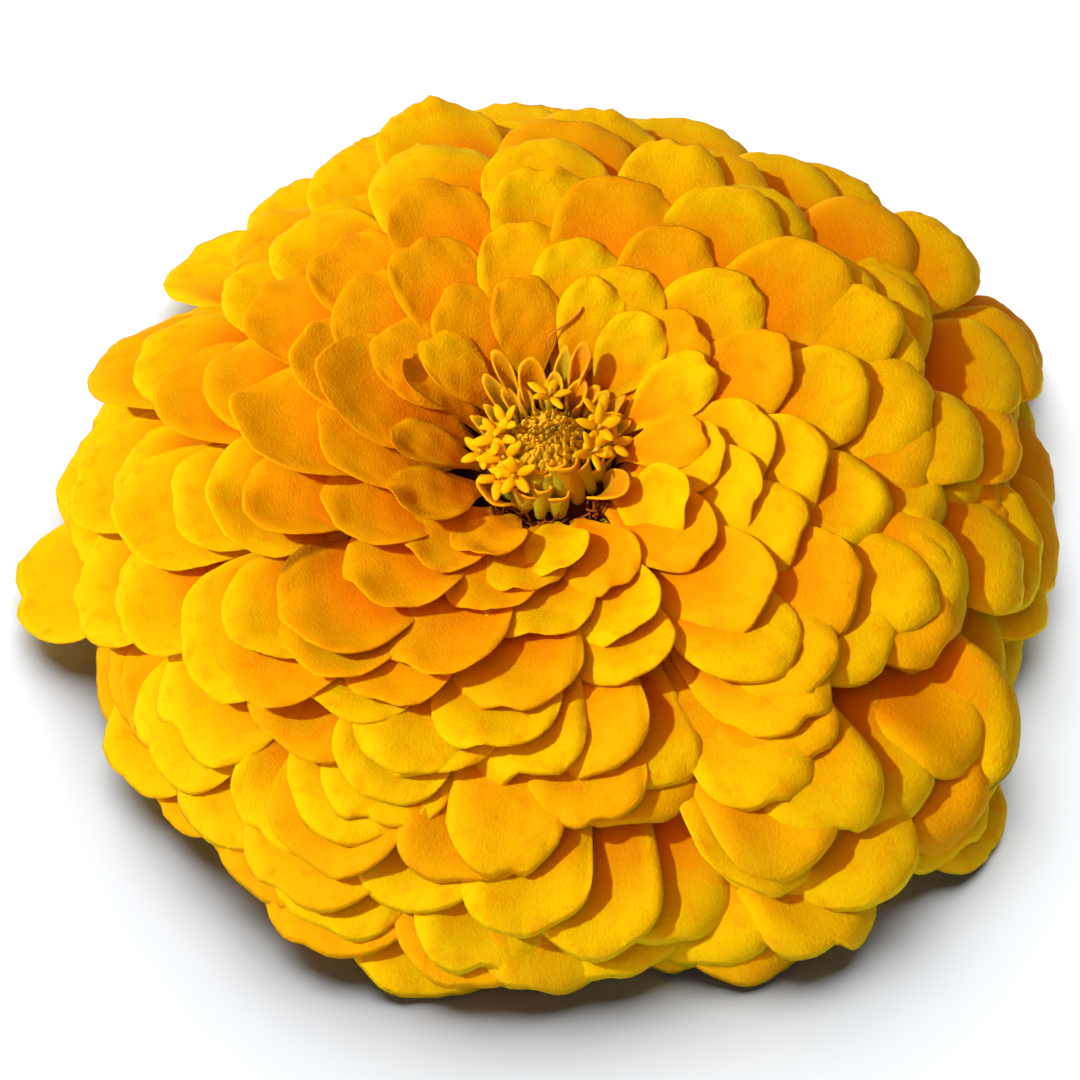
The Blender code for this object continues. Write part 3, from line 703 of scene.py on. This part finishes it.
def buildBuds(material):
    # Buds by the golden angle over the dome. Each one's axis rises from the dome, leans in over the
    # middle, more so near the edge, and bends a little further in towards its tip.
    count = disc["buds"]
    number = np.arange(count)
    loose = draws(disc["seed"], count, 6)
    angle = number * head["goldenAngle"] + 0.05 * loose[:, 0]
    reach = np.sqrt((number + 0.5) / count)
    size = mix(0.7, 1.0, smooth(reach * 1.3)) * (1.0 + 0.2 * loose[:, 1])
    away = outward(angle)
    root = domePoint(reach * 0.97, angle, -0.5)
    axis = unit(upright + away * (0.1 - 0.35 * reach)[:, None] + 0.24 * loose[:, 2:5])
    share = np.linspace(0.0, 1.0, 10)[None, :, None]
    span = perPiece(mix(*disc["budSpan"], reach)) * (1.0 + 0.16 * perPiece(loose[:, 5]))
    bend = away[:, None] * 0.35 * share**2 * perPiece(reach)
    lines = root[:, None] + axis[:, None] * span * share - bend
    radii = disc["budRadius"] * size[:, None] * fingerShape(share[..., 0])
    makeRods("discBuds", lines, radii, np.cross(axis, away), material, loose[:, 1])


def buildChaff(material):
    # Slim bent scales that come up between the buds, thickest over the back half of the dome.
    count = disc["chaff"]
    loose = draws(disc["seed"] + 1, count, 8)
    angle = mix(math.pi / 2, math.pi / 2 + math.pi * loose[:, 0], 0.5 + 0.5 * np.abs(loose[:, 1]))
    reach = np.sqrt(0.5 + 0.5 * loose[:, 2])
    away = outward(angle)
    axis = unit(upright + 0.5 * loose[:, 3:6] - 0.3 * away)
    across = np.cross(axis, away)
    share = np.linspace(0.0, 1.0, 8)[None, :, None]
    span = perPiece(mix(*disc["chaffSpan"], 0.5 + 0.5 * loose[:, 6]))
    curve = unit(0.7 * across + 0.5 * away)[:, None] * perPiece(0.9 * loose[:, 7])
    root = domePoint(reach * 0.98, angle, -0.4)
    lines = root[:, None] + axis[:, None] * span * share + curve * share**2
    radii = disc["chaffRadius"] * (1.0 - share[..., 0] ** 2) + 0.0 * span[..., 0]
    makeRods("discChaff", lines, radii, across, material, loose[:, 2], sides=6, flat=0.45)


# Open florets, in mm: groups of middle direction in degrees, how many, step in degrees.
florets = dict(
    groups=((203, 5, 13.0), (8, 4, 15.0), (88, 1, 20.0), (160, 1, 16.0)), rows=(5.0, 6.4),
    heights=(4.5, 3.4), tubeRadius=0.55, knobRadius=0.24, lobes=5, lobeSpan=2.6, lobeRadius=0.6,
    lobeFlat=0.5, opening=math.radians(64.0), seed=21,
)


def buildFlorets(material, innerMaterial):
    # Each floret is a tube that leans outwards, five thick lobes that spread from its mouth and bend
    # down a little, and a knob in the mouth. A lobe follows a line that runs out along its own
    # direction and up along the tube by the cosine of the opening, less a third of the share squared.
    steps = [
        (math.radians(middle + step * (place - (count - 1) / 2)), place % 2)
        for middle, count, step in florets["groups"] for place in range(count)
    ]
    angle = np.array([step[0] for step in steps])
    row = np.array([step[1] for step in steps])
    count = len(angle)
    loose = draws(florets["seed"], count, 8)
    away = outward(angle)
    reach = mix(*florets["rows"], row) + 0.35 * loose[:, 0]
    tall = mix(*florets["heights"], row) + 0.4 * loose[:, 1]
    mouth = polar(reach, angle, disc["seat"] + tall)
    axis = unit(upright + away * 0.45 + 0.25 * loose[:, 2:5])
    share = np.linspace(0.0, 1.0, 9)
    root = polar(reach * 0.8, angle, np.full(count, disc["seat"] - 0.2))
    lines = mix(root[:, None], mouth[:, None], share[None, :, None])
    radii = florets["tubeRadius"] * mix(0.6, 1.0, smooth(share))[None] * np.ones((count, 1))
    makeRods("floretTubes", lines, radii, away, innerMaterial, loose[:, 5])
    lines = mouth[:, None] + axis[:, None] * np.linspace(-0.2, 1.1, 7)[None, :, None]
    radii = florets["knobRadius"] * budShape(np.linspace(0.0, 1.0, 7))[None] * np.ones((count, 1))
    makeRods("floretKnobs", lines, radii, away, innerMaterial, loose[:, 6])
    # One row of arrays for each lobe of each floret.
    lobes = florets["lobes"]
    turn = (2 * math.pi * np.arange(lobes) / lobes)[None] + math.pi * loose[:, 7:8]
    aside = unit(np.cross(axis, away))[:, None]
    forth = np.cross(axis[:, None], aside)
    spoke = (aside * np.cos(turn)[..., None] + forth * np.sin(turn)[..., None]).reshape(-1, 3)
    axis, mouth = np.repeat(axis, lobes, axis=0), np.repeat(mouth, lobes, axis=0)
    vary = draws(florets["seed"] + 1, count * lobes, 4)
    opening = perPiece(florets["opening"] + 0.3 * vary[:, 0])
    span = perPiece(florets["lobeSpan"] * (1.0 + 0.14 * vary[:, 1]))
    share = share[None, :, None]
    lines = mouth[:, None] + spoke[:, None] * (0.2 + span * np.sin(opening) * share)
    lines = lines + axis[:, None] * (span * np.cos(opening) * (share - 0.35 * share**2) - 0.1)
    radii = florets["lobeRadius"] * (1.0 + 0.12 * vary[:, 2:3]) * lobeShape(share[..., 0])
    across = np.cross(axis, spoke)
    makeRods("floretLobes", lines, radii, across, material, vary[:, 3], flat=florets["lobeFlat"])


# Young petals round the disc, still rolled. Each one: direction and, in mm and degrees, the foot's
# radius, how far the top leans out, height, radius and half angle of the roll, then the share of
# that angle that is left at the top, the tip's squareness, and how green its outside is.
young = dict(
    rows=24, columns=21, thickness=(0.34, 0.26), seed=8, lip=0.35, ruffle=0.1, step=0.004, rimBand=0.5,
    flare=0.3, firstNumber=300,
    single=(
        # behind the dome, from left to right
        (158, 6.2, 2.2, 3.0, 1.1, 60, 0.8, 1.2, 1.0), (146, 5.6, 2.2, 3.2, 0.9, 75, 0.8, 1.2, 1.0),
        (133, 6.4, 3.2, 4.4, 0.8, 100, 0.8, 1.6, 0.9), (127, 5.4, 2.0, 3.6, 0.55, 150, 0.8, 2.0, 0.9),
        (121, 6.6, 3.8, 5.8, 0.7, 140, 0.8, 2.0, 0.8), (114, 5.2, 1.4, 3.6, 0.6, 150, 0.8, 2.0, 0.9),
        (104, 6.2, 2.2, 5.6, 1.25, 110, 0.75, 2.0, 0.5), (94, 5.4, 1.4, 3.4, 0.5, 150, 0.8, 2.0, 0.9),
        (84, 5.4, 1.8, 4.7, 0.65, 150, 0.9, 2.0, 0.9), (79, 6.7, 3.0, 5.6, 0.8, 100, 0.9, 1.2, 1.0),
        (68, 6.8, 3.2, 6.8, 0.7, 150, 0.85, 2.0, 0.5), (62, 5.5, 1.7, 4.4, 0.8, 165, 1.0, 1.5, 0.2),
        (51, 5.6, 2.2, 3.8, 0.5, 150, 0.8, 2.0, 0.8), (42, 5.8, 2.4, 4.2, 0.9, 90, 0.8, 1.3, 0.9),
        (33, 6.0, 3.0, 3.5, 1.2, 70, 0.8, 1.2, 1.0), (18, 6.5, 2.0, 2.6, 1.0, 70, 0.8, 1.3, 1.0),
        # trumpets in front of the dome, leaning in over it
        (236, 5.9, -2.4, 5.1, 0.6, 160, 0.95, 2.0, 1.0), (253, 6.0, -2.8, 5.6, 0.75, 160, 0.9, 2.4, 1.0),
        (270, 6.0, -2.6, 5.1, 0.6, 165, 0.95, 2.2, 0.9), (286, 6.0, -3.0, 6.0, 0.75, 160, 0.9, 2.4, 0.8),
        (303, 6.1, -2.3, 6.3, 1.1, 120, 0.85, 3.0, 0.5), (320, 6.1, -1.7, 5.6, 0.8, 130, 0.85, 2.4, 0.6),
        (244, 6.9, -1.2, 3.5, 1.5, 85, 0.85, 3.0, 0.8), (263, 6.9, -1.6, 4.5, 0.75, 150, 0.9, 2.4, 0.6),
        (280, 6.9, -1.2, 3.4, 1.1, 95, 0.85, 2.6, 0.7), (338, 6.2, -0.6, 4.2, 1.3, 80, 0.8, 2.2, 0.8),
        (226, 6.3, -0.5, 3.8, 1.3, 80, 0.8, 2.2, 0.8),
        (190, 6.2, 0.4, 2.6, 1.2, 70, 0.8, 1.6, 1.0), (353, 6.3, 0.2, 2.8, 1.1, 75, 0.8, 1.6, 1.0),
        # a spoon on the right and one on the left, open to the disc and golden already
        (322, 7.0, 2.6, 5.6, 2.2, 72, 0.8, 2.2, 0.1), (222, 7.2, 1.4, 3.6, 2.6, 62, 0.85, 2.4, 0.1),
    ),
)
# Young petal, still waxy and half green: the face is painted orange brown for the shade of the roll, the
# outside yellow-green, and the rim is bright yellow, partly its own colour and partly a painted highlight of
# the lit edge.
youngLook = dict(
    petalLook, base="#b8ac18", face="#dc9c06", rim="#fccc10", under="#b6bc28", pale="#e8a00a",
    deep="#c07a08", baseTo=(0.1, 0.8), rimAmount=0.95, underAmount=1.0, variation=0.2,
    blotchAmount=0.2, roughness=0.6, specular=0.1,
)


def youngSheets():
    # A sheet whose cross-section is an arc open towards the disc, with the roll's radius and half
    # angle. Near the top the radius flares and the angle opens. The midline rises, leans out with
    # the share to 1.6, and turns out to a lip that is frilled by a sine across the sheet.
    rows = young["single"]
    loose = draws(young["seed"], len(rows), 10)
    columns = [perPiece(np.array(column, dtype=float)) for column in zip(*rows)]
    angle, foot, leaning, tall, bend, roll, opened, power, green = columns
    angle, roll = np.radians(angle), np.radians(roll)

    def vary(order):
        return perPiece(loose[:, order])

    def arcOf(share):
        return roll * mix(1.0, opened, smooth((share - 0.3) / 0.6))

    def bendOf(share):
        flared = 1.0 + young["flare"] * smooth((share - 0.6) / 0.4)
        return bend * mix(0.55, 1.0, smooth(share / 0.6)) * flared

    def surface(share, side):
        upper = smooth((share - 0.55) / 0.45)
        frill = young["ruffle"] * np.sin(6.0 * side + math.pi * vary(5)) * upper
        lip = young["lip"] * smooth((share - 0.8) / 0.2) * (1.0 + 0.6 * vary(6))
        inward = bendOf(share) * (1.0 - np.cos(arcOf(share) * side))
        fromAxis = foot + leaning * share**1.6 + lip + frill - inward
        aside = bendOf(share) * np.sin(arcOf(share) * side)
        height = disc["seat"] - 0.3 + tall * share + 0.0 * side
        away, along = polar(1.0, angle, 0.0), polar(1.0, angle + math.pi / 2, 0.0)
        points = away * fromAxis[..., None] + along * aside[..., None]
        points[..., 2] = height
        return leanHead(points)

    bow = np.linspace(-math.pi / 2, math.pi / 2, young["columns"])[None, None, :]
    side = np.sin(bow)
    run = np.linspace(0.0, 1.0, young["rows"])[None, :, None]
    rounding = np.minimum(1.1 * bend * roll / tall, 0.4)
    end = 1.0 - rounding * (1.0 - (1.0 - np.clip(np.abs(side) ** power, 0.0, 1.0)) ** (1.0 / power))
    share, side = run * end, side + 0.0 * run * end
    points, normal = withNormals(surface, share, side, young["step"], young["step"])
    half = bendOf(share) * arcOf(share)
    toRim = np.minimum((end - share) * tall, (1.0 - np.abs(side)) * half * 1.4)
    marks = dict(
        along=share, rim=1.0 - smooth(toRim / young["rimBand"]), aside=side * half,
        alongMm=share * tall, tint=vary(7), warmth=vary(8), dry=0.0, under=green,
        over=0.8 * np.clip(2.0 * (green - 0.6), 0.0, 1.0),
        number=perPiece(np.arange(len(rows))) + young["firstNumber"], toRim=toRim,
    )
    return points, normal, marks


# The crumbs of withered styles, in mm: where they lie round the head, how long and thick they are,
# and how far each swings from a straight line.
crumbs = dict(
    count=44, seed=33, middle=math.radians(-84.0), spread=0.85, reach=(7.7, 0.9), above=(0.1, 0.7),
    span=1.7, radius=0.2, swing=0.5,
)
# The fallen style, in mm: points of the petals under it, and how far it is lifted off them.
curled = dict(
    over=np.array([
        (3.5, 11.9, 24.2), (2.9, 11.0, 23.8), (1.7, 10.2, 23.5),
        (0.6, 9.3, 23.1), (0.0, 8.8, 22.8), (0.3, 8.1, 22.0),
    ]),
    lifted=(0.0, -0.2, 0.26), radius=0.14,
)


def buildWithered(material, fadedMaterial):
    # Crumbs in the gap between the young petals and the ray petals in front; their near-black colour is
    # partly painted shade of that gap.
    loose = draws(crumbs["seed"], crumbs["count"], 8)
    angle = crumbs["middle"] + crumbs["spread"] * loose[:, 0]
    reach = crumbs["reach"][0] + crumbs["reach"][1] * loose[:, 1]
    root = polar(reach, angle, disc["seat"] + crumbs["above"][0] + crumbs["above"][1] * loose[:, 2])
    axis = unit(loose[:, 3:6] + 0.6 * upright)
    share = np.linspace(0.0, 1.0, 7)[None, :, None]
    aside = unit(np.cross(axis, outward(angle)))[:, None]
    swing = aside * crumbs["swing"] * np.sin(3.0 * share + 2.0 * perPiece(loose[:, 6]))
    lines = root[:, None] + axis[:, None] * crumbs["span"] * (share - 0.5) + swing
    radii = crumbs["radius"] * (1.0 - 0.5 * share[..., 0]) * (1.0 + 0.4 * loose[:, 7:8])
    makeRods("witheredStyles", lines, radii, outward(angle), material, loose[:, 0], sides=6)
    # One long style has fallen over the petals behind the disc: a smooth curve near these points.
    knots = curled["over"] + np.array(curled["lifted"])
    place = np.linspace(0.0, 1.0, len(knots))
    fine = np.linspace(0.0, 1.0, 30)
    line = np.stack([np.polyval(np.polyfit(place, column, 4), fine) for column in knots.T], axis=-1)
    radii = curled["radius"] * (1.0 - 0.4 * fine)
    points, faces, along = rods(line[None], radii[None], np.array([[0.0, 0.6, 0.8]]))
    marks = {"along": along, "tint": 0.0 * along + 0.6, "warmth": 0.0 * along}
    makePiece("curledStyle", points, faces, fadedMaterial, "disc", marks)


def buildDisc():
    budSkin = plantSkin("waxyBudSkin", budLook)
    chaffPaper = plantSkin("dryChaffPaper", chaffLook)
    lobeSkin = plantSkin("velvetFloretLobe", lobeLook)
    withered = plantSkin("witheredTissueAndShade", witheredAndShadeLook)
    buildDome(plantSkin("greenDomePith", domeLook))
    buildBuds(budSkin)
    buildChaff(chaffPaper)
    buildFlorets(lobeSkin, budSkin)
    youngSkin = plantSkin("waxyYoungPetal", youngLook)
    makeBlades("youngPetals", *youngSheets(), young["thickness"], youngSkin, "floret", "disc")
    buildWithered(withered, plantSkin("fadedStyle", fadedLook))
    print("disc built")


# The involucre under the petals, all lengths in mm.
involucre = dict(
    stemRadius=3.4, stemLength=1.2, bellSpread=7.4, bellRise=6.0, bellTurn=math.radians(86.0), top=7.7,
    bractsPerRow=11, starts=(0.10, 0.34, 0.58), span=0.42, standOff=(-0.6, 0.75), halfWidth=(1.5, 3.3),
    thickness=(0.45, 0.2), bractLength=4.6, rows=20, columns=15, seed=17, ribs=14, firstNumber=400,
)
# Bracts, leathery leaf green with a dry dark margin: a waxed skin with a faint satin gloss.
bractLook = dict(
    petalLook, base="#8a9a3c", face="#5f7a24", rim="#3a2412", under="#8a9a50", pale="#7f9638",
    deep="#48601a", dry="#5a3a16", baseTo=(0.1, 0.9), rimAmount=0.85, underAmount=0.6, variation=0.35,
    veinSpacing=0.6, veinAmount=0.3, roughness=0.5, specular=0.4, sheen=0.0, glow=0.05,
)
# The cup and the stem share the leaf's waxed skin, with ribs along the stem.
stemLook = dict(bractLook, mapped=False, base="#93a452", face="#6f8a30", veinStretch=0.15)
# The cut face is wet pith inside a ring of green fibres: pale, rough and without gloss.
cutLook = dict(stemLook, base="#b9c07c", face="#d9dcae", deep="#8f9a4e", roughness=0.85, specular=0.15)


def bell(place, standOff):  # the cup's profile, a quarter turn that spreads and rises from the stem
    slant = involucre["bellTurn"] * place
    radius = involucre["stemRadius"] + (involucre["bellSpread"] + standOff) * np.sin(slant)
    height = involucre["stemLength"] + involucre["bellRise"] * (1.0 - np.cos(slant))
    return radius, height - standOff * np.cos(slant)


def bractSheets():
    # A sheet that follows the bell from its start over its span. Its outline is an egg's: wide at
    # two thirds, with a blunt tip. It stands off the bell more towards its tip and its edges.
    rows = len(involucre["starts"])
    count = rows * involucre["bractsPerRow"]
    loose = draws(involucre["seed"], count, 6)

    def vary(order):
        return perPiece(loose[:, order])

    row = perPiece(np.repeat(np.arange(rows), involucre["bractsPerRow"]))
    place = perPiece(np.tile(np.arange(involucre["bractsPerRow"]), rows))
    angle = 2 * math.pi * (place + 0.5 * (row % 2)) / involucre["bractsPerRow"] + 0.05 * vary(0)
    start = np.array(involucre["starts"])[row]

    def widthOf(share):
        return mix(*involucre["halfWidth"], smooth(share / 0.55)) * (1.0 + 0.06 * vary(1))

    def surface(share, side):
        stand = mix(*involucre["standOff"], smooth(share)) + 0.25 * side**2 * smooth(share)
        stand = stand + 0.15 * vary(2) * share
        stand = stand + 0.1 * np.sin(2.8 * side + 2.0 * share + math.pi * vary(3)) * share
        radius, height = bell(start + involucre["span"] * share, stand)
        return polar(radius, angle + side * widthOf(share) / radius, height)

    # The columns run clockwise, so that the upper side of the sheet is the bract's outer face.
    bow = np.linspace(math.pi / 2, -math.pi / 2, involucre["columns"])[None, None, :]
    end = 1.0 - 0.42 * (1.0 - np.cos(bow)) ** 1.2
    share = np.linspace(0.0, 1.0, involucre["rows"])[None, :, None] * end + 0.0 * angle
    side = np.sin(bow) + 0.0 * share
    points, normal = withNormals(surface, share, side, 0.004, -0.004)
    toRim = np.minimum((end - share) * involucre["bractLength"], (1.0 - np.abs(side)) * widthOf(share) * 1.3)
    marks = dict(
        along=share, rim=1.0 - smooth(toRim / 0.8), aside=side * widthOf(share),
        alongMm=share * involucre["bractLength"], tint=vary(4), warmth=vary(5), dry=0.0,
        number=perPiece(np.arange(count)) + involucre["firstNumber"], toRim=toRim,
    )
    return points, normal, marks


def buildInvolucre():
    leather = plantSkin("waxedBractLeather", bractLook)
    green = plantSkin("ribbedStemSkin", stemLook)
    pith = plantSkin("cutPithFace", cutLook)
    place = np.linspace(0.0, 1.0, 16)
    radius, height = bell(place, -0.35)
    low = involucre["stemLength"] + 0.2
    radius = np.concatenate([[0.0, 3.0], radius[1:], [radius[-1] - 0.3, 5.0, 0.0]])
    height = np.concatenate([[low, low], height[1:], [involucre["top"]] * 3])
    makeTurned("involucreCup", radius, height, 66, green, "involucre")
    makeBlades("bracts", *bractSheets(), involucre["thickness"], leather, "bract", "involucre")
    # The stem: a flat cut face with a small bevel, ribbed flanks, and a top inside the cup.
    stem = involucre["stemRadius"]
    radius = np.array([0.0, 1.2, 2.2, stem - 0.45, stem - 0.15, stem, stem, stem - 0.1, 0.0])
    height = np.array([0.02, 0.02, 0.0, 0.0, 0.05, 0.25, involucre["stemLength"], 2.6, 2.7])

    def ribbed(angle, level):
        return 0.12 * np.cos(involucre["ribs"] * angle) * smooth((level - 0.05) / 0.3)

    makeTurned("cutStem", radius, height, 112, pith, "involucre", ribbed)
    print("involucre built")


buildPetals(plantSkin("velvetZinniaPetal", petalLook))
buildReceptacle(plantSkin("paintedShadeReceptaclePith", pithShadeLook))
buildDisc()
buildInvolucre()


# Floor, lights and camera, in metres, mm and degrees. A light has a direction round the head and above
# the floor, a strength, an angle, a colour, and leaves the floor out or lights nothing else.
studio = dict(
    lights=dict(
        keySun=(188.0, 47.0, 2.72, 1.6, "#ffffff", "EXCLUDE"),
        softFloorLight=(97.0, 53.0, 4.5, 70.0, "#fffdfa", "INCLUDE"),  # gives the floor its faint shadow
        frontFill=(-115.0, 50.0, 0.6, 60.0, "#ffa050", "EXCLUDE"),
        # light thrown about among the petals, which makes their shadows red brown
        warmBounce=(155.0, 52.0, 1.75, 120.0, "#ffa050", "EXCLUDE"),
    ),
    sky=0.04, paper="#f2f8ff", floorHalf=3.0, lens=147.5, sensor=36.0, clipStart=0.01,
    distance=450.0, azimuth=-90.0, elevation=58.0, target=(-0.85, -9.85, 13.85),
)


def aim(subject, azimuth, height):  # points a light or camera back along the direction to it
    azimuth, height = math.radians(azimuth), math.radians(height)
    level = math.cos(height)
    back = Vector((math.cos(azimuth) * level, math.sin(azimuth) * level, math.sin(height)))
    subject.rotation_mode = "QUATERNION"
    subject.rotation_quaternion = back.to_track_quat("Z", "Y")
    bpy.context.scene.collection.objects.link(subject)
    return back


def addSun(name, azimuth, height, strength, angle, color, floor, state):
    # The state leaves the floor out of a light, or gives the floor a light of its own.
    sun = bpy.data.objects.new(name, bpy.data.lights.new(name, "SUN"))
    sun.data.energy = strength
    sun.data.angle = math.radians(angle)
    sun.data.color = hexColor(color)[:3]
    aim(sun, azimuth, height)
    group = bpy.data.collections.new(name + "Floor")
    group.objects.link(floor)
    group.collection_objects[0].light_linking.link_state = state
    sun.light_linking.receiver_collection = group


def buildFloor():
    # White matt paper backdrop, evenly rolled: neutral, with a grain too fine to see from here.
    material = bpy.data.materials.new("mattBackdropPaper")
    material.use_nodes = True
    tree = material.node_tree
    tree.nodes.clear()
    grain = addNode(tree, "ShaderNodeTexNoise", {"Scale": 900.0, "Detail": 2.0})
    bump = addNode(tree, "ShaderNodeBump", {"Strength": 0.03, "Distance": 0.1 * mm}, Height=grain.outputs[0])
    shader = addNode(tree, "ShaderNodeBsdfPrincipled", {
        "Base Color": hexColor(studio["paper"]), "Roughness": 0.9, "Specular IOR Level": 0.1,
    }, Normal=bump.outputs[0])
    addNode(tree, "ShaderNodeOutputMaterial", Surface=shader.outputs[0])
    half = studio["floorHalf"]
    corners = [(-half, -half, 0), (half, -half, 0), (half, half, 0), (-half, half, 0)]
    mesh = bpy.data.meshes.new("floor")
    mesh.from_pydata(corners, [], [(0, 1, 2, 3)])
    mesh.materials.append(material)
    floor = bpy.data.objects.new("floor", mesh)
    bpy.context.scene.collection.objects.link(floor)
    return floor


def buildStudio():
    floor = buildFloor()
    world = bpy.data.worlds.new("softSky")
    world.use_nodes = True
    sky = world.node_tree.nodes["Background"]
    sky.inputs["Color"].default_value = hexColor("#ffffff")
    sky.inputs["Strength"].default_value = studio["sky"]
    bpy.context.scene.world = world
    for name, (azimuth, height, strength, angle, color, state) in studio["lights"].items():
        addSun(name, azimuth, height, strength, angle, color, floor, state)
    camera = bpy.data.objects.new("camera", bpy.data.cameras.new("camera"))
    camera.data.lens = studio["lens"]
    camera.data.sensor_width = studio["sensor"]
    camera.data.clip_start = studio["clipStart"]
    back = aim(camera, studio["azimuth"], studio["elevation"])
    camera.location = (Vector(studio["target"]) + back * studio["distance"]) * mm
    bpy.context.scene.camera = camera
    bpy.context.scene.view_settings.view_transform = "Standard"
    print("studio set")


buildStudio()
